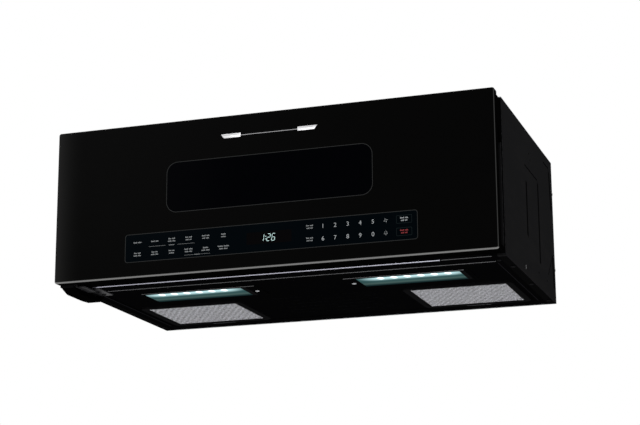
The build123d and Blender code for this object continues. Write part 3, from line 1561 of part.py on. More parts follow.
bar_y = (web_front - latch_bar_depth, web_front - running_gap)
bar_z = (hook_places[0] - latch_bar_end, hook_places[1] + latch_bar_end)
hook_rear = frame_back + hook_reach
with BuildPart() as door_latch:
    bar_x = around(latch_x, latch_thickness / 2)
    block(bar_x, bar_y, bar_z)
    for z in hook_places:
        hook_low = z - hook_height / 2
        block(bar_x, (bar_y[1], hook_rear), around(z, hook_height / 2))
        block(bar_x, (hook_rear - hook_lip_depth, hook_rear), (hook_low - hook_lip, hook_low))
save(door_latch, "door_latch")

spring_y = sum(bar_y) / 2
spring_z = (bar_z[1], hollow_z[1])
with BuildPart() as latch_spring:
    post(latch_x, spring_y, spring_z, spring_radius)
    post(latch_x, spring_y, (spring_z[0] - cut, spring_z[1] + cut), spring_radius - spring_wire,
         Mode.SUBTRACT)
save(latch_spring, "latch_spring")

with BuildPart() as badge_bar:
    with BuildSketch(Plane.XZ.offset(-door_face)):
        with Locations((badge_aside, panel_top - badge_below_top)):
            SlotOverall(badge_width, badge_height)
    extrude(amount=badge_rise)
    chamfer(badge_bar.faces().sort_by(Axis.Y)[0].edges(), length=badge_bevel)
save(badge_bar, "badge_bar")


# ---------------------------------------------------------------- screws
def screw_down(x, y, seat):
    """A screw driven downwards, its head on a seat."""
    post(x, y, (seat, seat + screw_head), screw_head_radius)
    post(x, y, (seat - screw_length, seat), screw_radius)


def screw_up(x, y, seat):
    """A screw driven upwards from below, its head under a seat."""
    post(x, y, (seat - screw_head, seat), screw_head_radius)
    post(x, y, (seat, seat + screw_length), screw_radius)


def screw_in(side, y, z, seat):
    """A screw driven in from one side of the cabinet."""
    cross_rod(sided(side, seat, seat + screw_head), y, z, screw_head_radius)
    cross_rod(sided(side, seat - screw_length, seat), y, z, screw_radius)


def screw_back(x, z, seat):
    """A screw driven towards the wall, its head in front of a seat."""
    depth_rod(x, (seat - screw_head, seat), z, screw_head_radius)
    depth_rod(x, (seat, seat + screw_length), z, screw_radius)


def screw_forward(x, z, seat):
    """A screw driven away from the wall, its head behind a seat."""
    depth_rod(x, (seat, seat + screw_head), z, screw_head_radius)
    depth_rod(x, (seat - screw_length, seat), z, screw_radius)


with BuildPart() as case_screws:
    for x, y in base_screw_places:
        screw_up(x, y, 0)
    screw_up(corner_screw_x, corner_screw_y, rim_level)
    screw_back(hinge_screw_x, hinge_screw_z, front_plate_face)
    for y in bracket_screw_ys:
        screw_up(bracket_screw_x, y, rim_level - bracket_plate)
    for side in (-1, 1):
        screw_up(side * lamp_screw_x, lamp_screw_y, bezel_level)
        screw_in(side, side_screw_y, side_screw_height, half_width)
        for z in rear_screw_zs:
            screw_in(side, rear_screw_y, z, half_width)
        for y in top_screw_ys:
            screw_down(side * flange_screw_x, y, cabinet_height)
save(case_screws, "case_screws")

with BuildPart() as door_screws:
    for x, z in door_screw_places:
        screw_forward(x, z, frame_back)
save(door_screws, "door_screws")
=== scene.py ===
"""Finishes and fine pieces of an over-the-range microwave, built round its fixed frame.

Lengths of pieces are in millimetres in the frame's own axes (X to the right seen from the front, Y
towards the wall, Z up) and are turned into metres when a mesh is written. Lengths in effects and
finishes, and in the studio, are in metres.
"""

import logging
import math
from collections.abc import Callable
from dataclasses import dataclass, field, replace
from enum import Enum

import bmesh
import bpy
import numpy as np
from mathutils import Matrix, Vector


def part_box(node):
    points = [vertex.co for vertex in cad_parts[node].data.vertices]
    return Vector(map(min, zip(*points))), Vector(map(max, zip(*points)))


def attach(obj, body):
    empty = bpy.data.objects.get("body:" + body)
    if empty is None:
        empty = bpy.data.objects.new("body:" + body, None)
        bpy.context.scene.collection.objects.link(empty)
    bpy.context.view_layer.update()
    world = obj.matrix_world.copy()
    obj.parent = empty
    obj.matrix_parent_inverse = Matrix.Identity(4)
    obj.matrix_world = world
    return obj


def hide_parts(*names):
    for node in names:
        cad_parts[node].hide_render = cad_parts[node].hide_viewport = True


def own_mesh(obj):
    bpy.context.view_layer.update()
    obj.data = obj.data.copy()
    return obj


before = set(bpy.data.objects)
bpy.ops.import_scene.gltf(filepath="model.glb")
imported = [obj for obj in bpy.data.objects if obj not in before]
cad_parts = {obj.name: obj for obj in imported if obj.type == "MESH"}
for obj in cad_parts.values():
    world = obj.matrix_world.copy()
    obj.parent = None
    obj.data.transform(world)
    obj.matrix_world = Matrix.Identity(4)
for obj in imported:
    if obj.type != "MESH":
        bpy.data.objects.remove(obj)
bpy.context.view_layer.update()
log = logging.getLogger("microwave")

MM = 0.001
PHOTO_WIDTH = 640
SMOOTH_ANGLE = math.radians(35)
WELD_DISTANCE = 1e-7
TOUCH_DISTANCE = 1e-6
Colour = tuple[float, float, float]
Place = tuple[float, float, float]


# --- shader effects ------------------------------------------------------------------------------


class Effect(Enum):
    """The shared shader effects, each one node group."""

    GRAIN = "fine_grain"
    SMUDGE = "handling_smudge"
    WEAR = "edge_wear_and_highlight"
    BRUSHED = "drawn_lines"
    SPANGLE = "zinc_spangle"
    SPECKLE = "enamel_speckle"
    ROLLED = "painted_roll_highlights"
    PRESSED = "painted_groove_shade"
    GLOW = "lamp_glow"
    NETTING = "netting_layers"
    LAYERS = "stacked_layers"


class Signal:
    """A value that a socket puts out; reckoning with it adds Math nodes to its tree."""

    def __init__(self, tree: "Tree", socket: bpy.types.NodeSocket) -> None:
        """Keeps the tree and the socket."""
        self.tree, self.socket = tree, socket

    def __add__(self, other: "Signal | float") -> "Signal":
        """Adds another value."""
        return self.tree.reckon("ADD", self, other)

    def __sub__(self, other: "Signal | float") -> "Signal":
        """Takes another value away."""
        return self.tree.reckon("SUBTRACT", self, other)

    def __mul__(self, other: "Signal | float") -> "Signal":
        """Multiplies by another value."""
        return self.tree.reckon("MULTIPLY", self, other)

    def __truediv__(self, other: "Signal | float") -> "Signal":
        """Divides by another value."""
        return self.tree.reckon("DIVIDE", self, other)

    def __pow__(self, other: "Signal | float") -> "Signal":
        """Raises to a power."""
        return self.tree.reckon("POWER", self, other)

    def __gt__(self, other: "Signal | float") -> "Signal":
        """Gives 1 where this value is the greater, and 0 elsewhere."""
        return self.tree.reckon("GREATER_THAN", self, other)

    def __lt__(self, other: "Signal | float") -> "Signal":
        """Gives 1 where this value is the smaller, and 0 elsewhere."""
        return self.tree.reckon("LESS_THAN", self, other)

    def __abs__(self) -> "Signal":
        """Drops the sign."""
        return self.to("ABSOLUTE")

    def to(self, operation: str) -> "Signal":
        """Passes the value through a Math operation of one term."""
        return self.tree.reckon(operation, self)

    def at_least(self, other: "Signal | float") -> "Signal":
        """Gives the greater of two values."""
        return self.tree.reckon("MAXIMUM", self, other)

    def at_most(self, other: "Signal | float") -> "Signal":
        """Gives the smaller of two values."""
        return self.tree.reckon("MINIMUM", self, other)

    def ramp(self, low: float, high: float, new_low: float = 0.0, new_high: float = 1.0) -> "Signal":
        """Maps the value from one range to another, held at the ends.

        Args:
            low: The value that gives new_low.
            high: The value that gives new_high.
            new_low: Result at low.
            new_high: Result at high.

        Returns:
            The mapped value.
        """
        node = self.tree.add("MapRange", clamp=True, From_Min=low, From_Max=high, To_Min=new_low, To_Max=new_high)
        self.tree.join(self, node.inputs["Value"])
        return self.tree.out(node, "Result")


Reading = dict[str, Signal]


class Tree:
    """A node tree with short ways to add nodes and to join their sockets."""

    def __init__(self, tree: bpy.types.NodeTree) -> None:
        """Keeps the tree that nodes go into."""
        self.tree = tree

    def add(self, kind: str, **settings: object) -> bpy.types.Node:
        """Adds a node.

        Args:
            kind: The node's type without its ShaderNode prefix.
            settings: Properties of the node, or defaults of its inputs with underscores for spaces.

        Returns:
            The new node.
        """
        prefix = "" if kind.startswith("Node") else "ShaderNode"
        node = self.tree.nodes.new(prefix + kind)
        for name, value in settings.items():
            if hasattr(node, name):
                setattr(node, name, value)
            else:
                node.inputs[name.replace("_", " ")].default_value = value
        return node

    def out(self, node: bpy.types.Node, name: str | int) -> Signal:
        """Returns one of a node's outputs."""
        return Signal(self, node.outputs[name])

    def join(self, source: object, target: bpy.types.NodeSocket) -> None:
        """Feeds a socket.

        Args:
            source: A signal, or a plain value that the socket is set to.
            target: The socket.
        """
        if isinstance(source, Signal):
            self.tree.links.new(source.socket, target)
        else:
            target.default_value = source

    def reckon(self, operation: str, *terms: Signal | float) -> Signal:
        """Adds a Math node.

        Args:
            operation: What the node does.
            terms: Signals or numbers, in the order of its sockets.

        Returns:
            The node's result.
        """
        node = self.add("Math", operation=operation)
        for term, socket in zip(terms, node.inputs):
            self.join(term, socket)
        return self.out(node, 0)

    def reckon_vector(self, operation: str, *terms: Signal | tuple[float, ...]) -> bpy.types.Node:
        """Adds a Vector Math node.

        Args:
            operation: What the node does.
            terms: Signals or plain vectors, in the order of its sockets.

        Returns:
            The node.
        """
        node = self.add("VectorMath", operation=operation)
        for term, socket in zip(terms, node.inputs):
            self.join(term, socket)
        return node

    def stretched(self, vector: Signal, along: Place) -> Signal:
        """Scales a vector by axis."""
        return self.out(self.reckon_vector("MULTIPLY", vector, along), "Vector")

    def split(self, vector: Signal) -> list[Signal]:
        """Takes a vector apart.

        Args:
            vector: Any vector.

        Returns:
            Its parts along X, Y and Z.
        """
        node = self.add("SeparateXYZ")
        self.join(vector, node.inputs[0])
        return [self.out(node, axis) for axis in "XYZ"]

    def noise(self, vector: Signal, scale: Signal | float, detail: float = 2.0) -> Signal:
        """Adds a soft noise.

        Args:
            vector: Where it is read.
            scale: How fine it is.
            detail: How many finer layers it has.

        Returns:
            Its value, from 0 to 1.
        """
        noise = self.add("TexNoise", Detail=detail)
        self.join(vector, noise.inputs["Vector"])
        self.join(scale, noise.inputs["Scale"])
        return self.out(noise, "Fac")

    def cells(self, vector: Signal, scale: Signal) -> tuple[Signal, Signal]:
        """Scatters cells about random points.

        Args:
            vector: Where they are read.
            scale: How small they are.

        Returns:
            A number drawn for each cell, and the distance from its point.
        """
        cells = self.add("TexVoronoi")
        self.join(vector, cells.inputs["Vector"])
        self.join(scale, cells.inputs["Scale"])
        drawn = self.add("SeparateColor")
        self.join(self.out(cells, "Color"), drawn.inputs[0])
        return self.out(drawn, 0), self.out(cells, "Distance")

    def shaded(self, colour: Colour, share: Signal) -> Signal:
        """Scales a plain colour by a value.

        Args:
            colour: The plain colour.
            share: What it is scaled by.

        Returns:
            The scaled colour.
        """
        node = self.reckon_vector("SCALE", colour)
        self.join(share, node.inputs["Scale"])
        return self.out(node, "Vector")

    def blend(self, share: Signal, first: Signal, second: Colour) -> Signal:
        """Mixes a plain colour into another one.

        Args:
            share: How much of the second colour shows.
            first: The colour below.
            second: The plain colour above it.

        Returns:
            The mixed colour.
        """
        node = self.add("Mix", data_type="RGBA")
        for source, number in ((share, 0), (first, 6), ((*second, 1.0), 7)):
            self.join(source, node.inputs[number])
        return self.out(node, 2)

    def raise_surface(self, height: Signal, distance: float, strength: float, shader: bpy.types.Node) -> None:
        """Gives a shader the fine relief of a height.

        Args:
            height: The relief, from 0 to 1.
            distance: How deep it is.
            strength: How strongly it turns the light.
            shader: The shader.
        """
        bump = self.add("Bump", Distance=distance, Strength=strength)
        self.join(height, bump.inputs["Height"])
        self.join(self.out(bump, "Normal"), shader.inputs["Normal"])


class EffectBook:
    """Makes each effect's node group once and hands it out.

    Each of the upright runs is a line pressed in the side sheets, along which painted shade is spread: Y and Z of
    its top, Y and Z of its foot.
    """

    upright_runs = (
        (-0.132, 0.186, -0.132, 0.046),
        (-0.23, 0.165, -0.23, 0.074),
        (-0.027, 0.234, -0.019, 0.168),
        (-0.021, 0.082, -0.015, 0.026),
    )

    def __init__(self) -> None:
        """Lists how each effect is made, with its inputs' defaults, and starts with none made."""
        self.made: dict[Effect, bpy.types.NodeTree] = {}
        self.recipes: dict[Effect, tuple[Callable[[Tree, Reading], Reading], dict[str, float]]] = {
            Effect.GRAIN: (self._grain, {"Scale": 900.0, "Spread": 0.1}),
            Effect.SMUDGE: (self._smudge, {"Scale": 7.0, "Amount": 1.0}),
            Effect.WEAR: (self._wear, {"Radius": 0.0006, "Amount": 1.0}),
            Effect.BRUSHED: (self._brushed, {"Spread": 0.2}),
            Effect.SPANGLE: (self._spangle, {"Scale": 140.0, "Spread": 0.25}),
            Effect.SPECKLE: (self._speckle, {"Scale": 260.0, "Size": 0.16}),
            Effect.ROLLED: (self._rolled, {
                "Front": -0.467, "Bottom": 0.0002, "Right": 0.3762, "Left": -0.3785,
                "Lower Share": 0.7, "Right Share": 0.09, "Thin Share": 0.05, "Fringe Share": 0.045,
            }),
            Effect.PRESSED: (self._pressed, {"Face": 0.376, "Front": -0.4}),
            Effect.GLOW: (self._glow, {
                "First": 0.1395, "Pitch": 0.0231, "Count": 6.0, "Row": -0.302, "Rib": -0.265,
            }),
            Effect.NETTING: (self._netting, {"Spread": 0.7, "Slant": 0.34}),
            Effect.LAYERS: (self._layers, {"Pitch": 0.0007, "Spread": 0.3}),
        }

    def place(self, tree: Tree, effect: Effect, at: Signal, **values: float) -> Reading:
        """Places an effect in a material.

        Args:
            tree: The material's tree.
            effect: Which effect.
            at: The coordinates that it lies on.
            values: The group's other inputs by name, where they differ from their defaults.

        Returns:
            The group's outputs by name.
        """
        if effect not in self.made:
            self.made[effect] = self._make(effect)
        node = tree.add("Group")
        node.node_tree = self.made[effect]
        for name, value in {"Vector": at, **values}.items():
            tree.join(value, node.inputs[name])
        return {socket.name: Signal(tree, socket) for socket in node.outputs}

    def _make(self, effect: Effect) -> bpy.types.NodeTree:
        """Makes an effect's node group.

        Args:
            effect: Which effect.

        Returns:
            The group, with a Vector and its float inputs, and float outputs.
        """
        fill, defaults = self.recipes[effect]
        group = bpy.data.node_groups.new(effect.value, "ShaderNodeTree")
        tree = Tree(group)
        group.interface.new_socket("Vector", in_out="INPUT", socket_type="NodeSocketVector")
        for name, default in defaults.items():
            socket = group.interface.new_socket(name, in_out="INPUT", socket_type="NodeSocketFloat")
            socket.default_value = default
        source = tree.add("NodeGroupInput")
        results = fill(tree, {name: tree.out(source, name) for name in ("Vector", *defaults)})
        for name in results:
            group.interface.new_socket(name, in_out="OUTPUT", socket_type="NodeSocketFloat")
        sink = tree.add("NodeGroupOutput")
        for name, result in results.items():
            tree.join(result, sink.inputs[name])
        return group

    @staticmethod
    def _tone(value: Signal, spread: Signal) -> Signal:
        """Turns a value from 0 to 1 into a tone about 1: twice its swing about a half, times the spread."""
        return (value - 0.5) * spread * 2.0 + 1.0

    @staticmethod
    def _length(first: Signal, second: Signal) -> Signal:
        """Gives the length of a vector of two parts."""
        return (first * first + second * second).to("SQRT")

    def _grain(self, tree: Tree, given: Reading) -> Reading:
        """Fine even noise: a tone about 1 and a height."""
        value = tree.noise(given["Vector"], given["Scale"], 3.0)
        return {"Tone": self._tone(value, given["Spread"]), "Height": value}

    def _smudge(self, tree: Tree, given: Reading) -> Reading:
        """Soft wiped patches: a large noise broken up by a finer, streaked one.

        Args:
            tree: The group's tree.
            given: Its inputs.

        Returns:
            The patches' mask.
        """
        patches = tree.noise(given["Vector"], given["Scale"], 4.0)
        streaks = tree.noise(tree.stretched(given["Vector"], (14.0, 14.0, 70.0)), 1.0)
        return {"Mask": patches.ramp(0.42, 0.7) * streaks.ramp(0.35, 0.75) * given["Amount"]}

    def _wear(self, tree: Tree, given: Reading) -> Reading:
        """Rubbed edges with a painted edge highlight: where the rounded normal turns away from the flat one, broken
        up by noise.

        Args:
            tree: The group's tree.
            given: Its inputs.

        Returns:
            The edges' mask.
        """
        rounded = tree.add("Bevel", samples=4)
        tree.join(given["Radius"], rounded.inputs["Radius"])
        flat = tree.add("NewGeometry")
        match = tree.reckon_vector("DOT_PRODUCT", tree.out(rounded, "Normal"), tree.out(flat, "Normal"))
        broken = tree.noise(given["Vector"], 160.0, 3.0).ramp(0.35, 0.65)
        return {"Mask": tree.out(match, "Value").ramp(0.995, 0.9) * broken * given["Amount"]}

    def _brushed(self, tree: Tree, given: Reading) -> Reading:
        """Drawn lines along X: noise squeezed across the line."""
        lines = tree.noise(tree.stretched(given["Vector"], (18.0, 900.0, 900.0)), 1.0, 3.0)
        return {"Tone": self._tone(lines, given["Spread"]), "Height": lines}

    def _spangle(self, tree: Tree, given: Reading) -> Reading:
        """Zinc crystals: a tone that is steady within each cell and changes from cell to cell."""
        drawn, distance = tree.cells(given["Vector"], given["Scale"])
        return {"Tone": self._tone(drawn, given["Spread"]), "Height": distance}

    def _speckle(self, tree: Tree, given: Reading) -> Reading:
        """Fired specks: small dots at a share of scattered points."""
        drawn, distance = tree.cells(given["Vector"], given["Scale"])
        return {"Mask": (drawn > 0.55) * (distance < given["Size"])}

    def _rolled(self, tree: Tree, given: Reading) -> Reading:
        """Painted highlights on the rolls of a door sheet: the whole lower roll, a hairline on the others, a soft
        lighter fringe by the left edge.

        Args:
            tree: The group's tree.
            given: Its inputs: where the sheet's front and edges lie, and how strongly each roll shows.

        Returns:
            The painted highlights' mask, and the mask of the sheet's face.
        """
        across, depth, height = tree.split(given["Vector"])
        behind = depth - given["Front"]
        whole = behind.ramp(0.0, 0.0002) * behind.ramp(0.0026, 0.0018)
        thin = behind.ramp(0.0002, 0.0005) * behind.ramp(0.0014, 0.0009)
        lower = whole * (height - given["Bottom"]).ramp(0.0, -0.0005) * given["Lower Share"]
        right = (across - given["Right"]).ramp(-0.0004, 0.0004) * given["Right Share"]
        inward = (across - given["Left"]).ramp(0.06, 0.0)
        fringe = inward ** 3.0 * given["Fringe Share"] * behind.ramp(0.004, 0.002)
        total = lower.at_least(thin * (right + given["Thin Share"])) + fringe
        return {"Mask": total.at_most(1.0), "Face": behind.ramp(0.003, 0.001)}

    def _pressed(self, tree: Tree, given: Reading) -> Reading:
        """Painted shade in and beside the lines pressed into a side sheet, spread along its upright runs.

        Args:
            tree: The group's tree.
            given: Its inputs: the sheet's outer face and the front end of its pressed field.

        Returns:
            The painted shade's mask: how far the sheet is sunk, or how near a run's middle line is.
        """
        across, depth, height = tree.split(given["Vector"])
        total = (given["Face"] - abs(across)).ramp(0.00005, 0.0004) * (depth > given["Front"])
        for top_y, top_z, foot_y, foot_z in self.upright_runs:
            lean = (height - top_z) * ((foot_y - top_y) / (foot_z - top_z))
            middle, half = (top_z + foot_z) / 2, (top_z - foot_z) / 2
            within = abs(height - middle).ramp(half + 0.003, half)
            total = total.at_least(abs(depth - top_y - lean).ramp(0.007, 0.0035) * within)
        return {"Mask": total}

    def _glow(self, tree: Tree, given: Reading) -> Reading:
        """Light in a lens over a row of diodes along X, alike on both sides of the middle.

        Args:
            tree: The group's tree.
            given: Its inputs: the first diode, their pitch and count, their row and the lens's rib.

        Returns:
            The diodes' cores, the strip along their row, a wash round it and the rib.
        """
        across, depth, _ = tree.split(given["Vector"])
        place = (abs(across) - given["First"]) / given["Pitch"]
        last = given["Count"] - 1.0
        nearest = place.to("ROUND").at_least(0.0).at_most(last)
        aside = (place - nearest) * given["Pitch"]
        outside = (place - place.at_least(0.0).at_most(last)) * given["Pitch"]
        behind = depth - given["Row"]
        far = self._length(outside * 0.5, behind)
        return {
            "Core": self._length(aside, behind * 0.6).ramp(0.0068, 0.002),
            "Strip": far.ramp(0.02, 0.004) ** 1.2,
            "Wash": far.ramp(0.05, 0.01),
            "Rib": abs(depth - given["Rib"]).ramp(0.011, 0.002),
        }

    def _netting(self, tree: Tree, given: Reading) -> Reading:
        """Layers of metal net: speckle drawn out along Y, crossed by the slant lines of layer over layer.

        Args:
            tree: The group's tree.
            given: Its inputs.

        Returns:
            A tone about 1 and a height.
        """
        speckle = tree.noise(tree.stretched(given["Vector"], (520.0, 110.0, 520.0)), 1.0, 0.0)
        across, depth, _ = tree.split(tree.stretched(given["Vector"], (1600.0, 420.0, 0.0)))
        lines = (across - depth).to("SINE") * given["Slant"]
        return {"Tone": (speckle - 0.5) * given["Spread"] * 2.0 + lines + 1.0, "Height": speckle}

    def _layers(self, tree: Tree, given: Reading) -> Reading:
        """Thin stacked sheets along X: a fine sine wave of tone and height."""
        wave = (tree.split(given["Vector"])[0] / given["Pitch"] * (2 * math.pi)).to("SINE")
        return {"Tone": wave * given["Spread"] + 1.0, "Height": wave}


# --- finishes ------------------------------------------------------------------------------------


def open_material(name: str) -> tuple[bpy.types.Material, Tree, bpy.types.Node]:
    """Makes a node material.

    Args:
        name: The material's name.

    Returns:
        The material, its tree and its Principled shader.
    """
    material = bpy.data.materials.new(name)
    material.use_nodes = True
    return material, Tree(material.node_tree), material.node_tree.nodes["Principled BSDF"]


def set_sockets(shader: bpy.types.Node, values: dict[str, object]) -> None:
    """Sets the values that are the same all over a surface on the shader's own sockets."""
    for name, value in values.items():
        shader.inputs[name].default_value = value


@dataclass(frozen=True)
class Finish:
    """A surface finish: plain values and how far its patterns change them."""

    name: str
    colour: Colour
    roughness: float
    specular: float = 0.5
    metallic: float = 0.0
    coat: float = 0.0
    coat_roughness: float = 0.06
    transmission: float = 0.0
    ior: float = 1.5
    emission: float = 0.0
    emission_colour: Colour = (1.0, 1.0, 1.0)
    pattern: Effect = Effect.GRAIN
    scale: float | None = None
    spread: float | None = None
    bump: float = 0.00002
    bump_strength: float = 0.6
    roughness_swing: float = 0.08
    speckle: float = 0.0
    speckle_colour: Colour = (0.08, 0.08, 0.08)
    smudge: float = 0.0
    smudge_colour: Colour = (0.03, 0.03, 0.031)
    smudge_roughness: float = 0.2
    # Share and colour of the lighter rounded edges, partly wear and partly painted highlight.
    wear: float = 0.0
    wear_and_highlight_colour: Colour = (0.05, 0.05, 0.052)
    # Colour of the highlights painted on a door sheet's rolls.
    roll_highlight_colour: Colour | None = None
    # Colour of the shade painted in and beside pressed lines.
    groove_shade_colour: Colour | None = None

    def material(self, effects: EffectBook) -> bpy.types.Material:
        """Builds the material.

        Args:
            effects: The book of shared effects.

        Returns:
            A node material whose patterns lie on Object coordinates.
        """
        material, tree, shader = open_material(self.name)
        set_sockets(shader, self._plain_values())
        at = tree.out(tree.add("TexCoord"), "Object")
        own = {name: value for name, value in (("Scale", self.scale), ("Spread", self.spread)) if value is not None}
        pattern = effects.place(tree, self.pattern, at, **own)
        colour = tree.shaded(self.colour, pattern["Tone"])
        swing = self.roughness_swing
        rough = pattern["Height"].ramp(0.0, 1.0, self.roughness - swing, self.roughness + swing)
        if self.speckle:
            specks = effects.place(tree, Effect.SPECKLE, at)["Mask"]
            colour = tree.blend(specks * self.speckle, colour, self.speckle_colour)
        if self.smudge:
            wiped = effects.place(tree, Effect.SMUDGE, at, Amount=self.smudge)["Mask"]
            colour = tree.blend(wiped, colour, self.smudge_colour)
            rough = rough + wiped * self.smudge_roughness
        # Wear and painted highlight: a lighter colour along rounded edges, broken up by noise.
        if self.wear:
            wear_and_highlight_mask = effects.place(tree, Effect.WEAR, at, Amount=self.wear)["Mask"]
            colour = tree.blend(wear_and_highlight_mask, colour, self.wear_and_highlight_colour)
        # Painted highlight: a light colour on the door's lower roll, hairlines on its other rolls and a soft lighter
        # fringe by the left edge.
        if self.roll_highlight_colour:
            highlight_masks = effects.place(tree, Effect.ROLLED, at)
            colour = tree.blend(highlight_masks["Mask"], colour, self.roll_highlight_colour)
            tree.join(highlight_masks["Face"] * self.coat, shader.inputs["Coat Weight"])
        # Painted shade: a darker colour in the side sheets' pressed lines and in bands beside their upright runs.
        if self.groove_shade_colour:
            lines = effects.place(tree, Effect.PRESSED, at)["Mask"]
            colour = tree.blend(lines, colour, self.groove_shade_colour)
        tree.join(colour, shader.inputs["Base Color"])
        tree.join(rough, shader.inputs["Roughness"])
        if self.bump:
            tree.raise_surface(pattern["Height"], self.bump, self.bump_strength, shader)
        return material

    def _plain_values(self) -> dict[str, object]:
        """Lists the shader's even values by socket."""
        return {
            "Metallic": self.metallic,
            "IOR": self.ior,
            "Specular IOR Level": self.specular,
            "Coat Weight": self.coat,
            "Coat Roughness": self.coat_roughness,
            "Transmission Weight": self.transmission,
            "Emission Strength": self.emission,
            "Emission Color": (*self.emission_colour, 1.0),
        }


@dataclass(frozen=True)
class LensFinish:
    """The cooktop lamps' frosted lens, lit from behind by its row of diodes."""

    name: str = "lit_lens"
    colour: Colour = (0.011, 0.03, 0.032)
    roughness: float = 0.3
    specular: float = 0.0
    frost_scale: float = 1400.0
    frost_spread: float = 0.2
    bump: float = 0.00004
    bump_strength: float = 0.7
    glow_colours: tuple[tuple[str, Colour], ...] = (
        ("Core", (1.6, 1.6, 1.6)),
        ("Strip", (0.54, 0.74, 0.77)),
        ("Wash", (0.04, 0.098, 0.098)),
        ("Rib", (0.035, 0.05, 0.042)),
    )

    def material(self, effects: EffectBook) -> bpy.types.Material:
        """Builds the lens with its cores, strip, wash and rib added up from the glow effect.

        Args:
            effects: The book of shared effects.

        Returns:
            The lens material.
        """
        material, tree, shader = open_material(self.name)
        set_sockets(shader, {
            "Roughness": self.roughness, "Specular IOR Level": self.specular, "Emission Strength": 1.0,
        })
        at = tree.out(tree.add("TexCoord"), "Object")
        frost = effects.place(tree, Effect.GRAIN, at, Scale=self.frost_scale, Spread=self.frost_spread)
        tree.join(tree.shaded(self.colour, frost["Tone"]), shader.inputs["Base Color"])
        glow = effects.place(tree, Effect.GLOW, at)
        light, *others = (tree.shaded(lit, glow[name]) for name, lit in self.glow_colours)
        for other in others:
            light = tree.out(tree.reckon_vector("ADD", light, other), "Vector")
        tree.join(light, shader.inputs["Emission Color"])
        tree.raise_surface(frost["Height"], self.bump, self.bump_strength, shader)
        return material


BLACK_ENAMEL = Finish(
    "black_enamel", (0.0068, 0.0068, 0.0071), 0.55, specular=0.0, coat=0.008, coat_roughness=0.4,
    scale=1500.0, spread=0.3, bump=0.00004, smudge=0.3, smudge_colour=(0.012, 0.012, 0.0125),
    wear=0.9, wear_and_highlight_colour=(0.03, 0.03, 0.032),
)
BRIGHT_TRIM = Finish(
    "bright_trim", (0.7, 0.7, 0.71), 0.2, metallic=1.0, pattern=Effect.BRUSHED, spread=0.1, bump=0.00001,
)
# The screws' light grey edges are wear with a painted highlight.
BLACK_SCREW = Finish(
    "black_screw", (0.012, 0.012, 0.012), 0.35, specular=0.1, coat=0.1, scale=2400.0, spread=0.3,
    wear=1.0, wear_and_highlight_colour=(0.12, 0.12, 0.12),
)
KEY_INK = Finish("key_ink", (0.22, 0.235, 0.24), 0.5, scale=2000.0, spread=0.12, bump=0.0)
PLAIN_INK = Finish("box_ink", (0.012, 0.017, 0.018), 0.5, specular=0.0, bump=0.0)

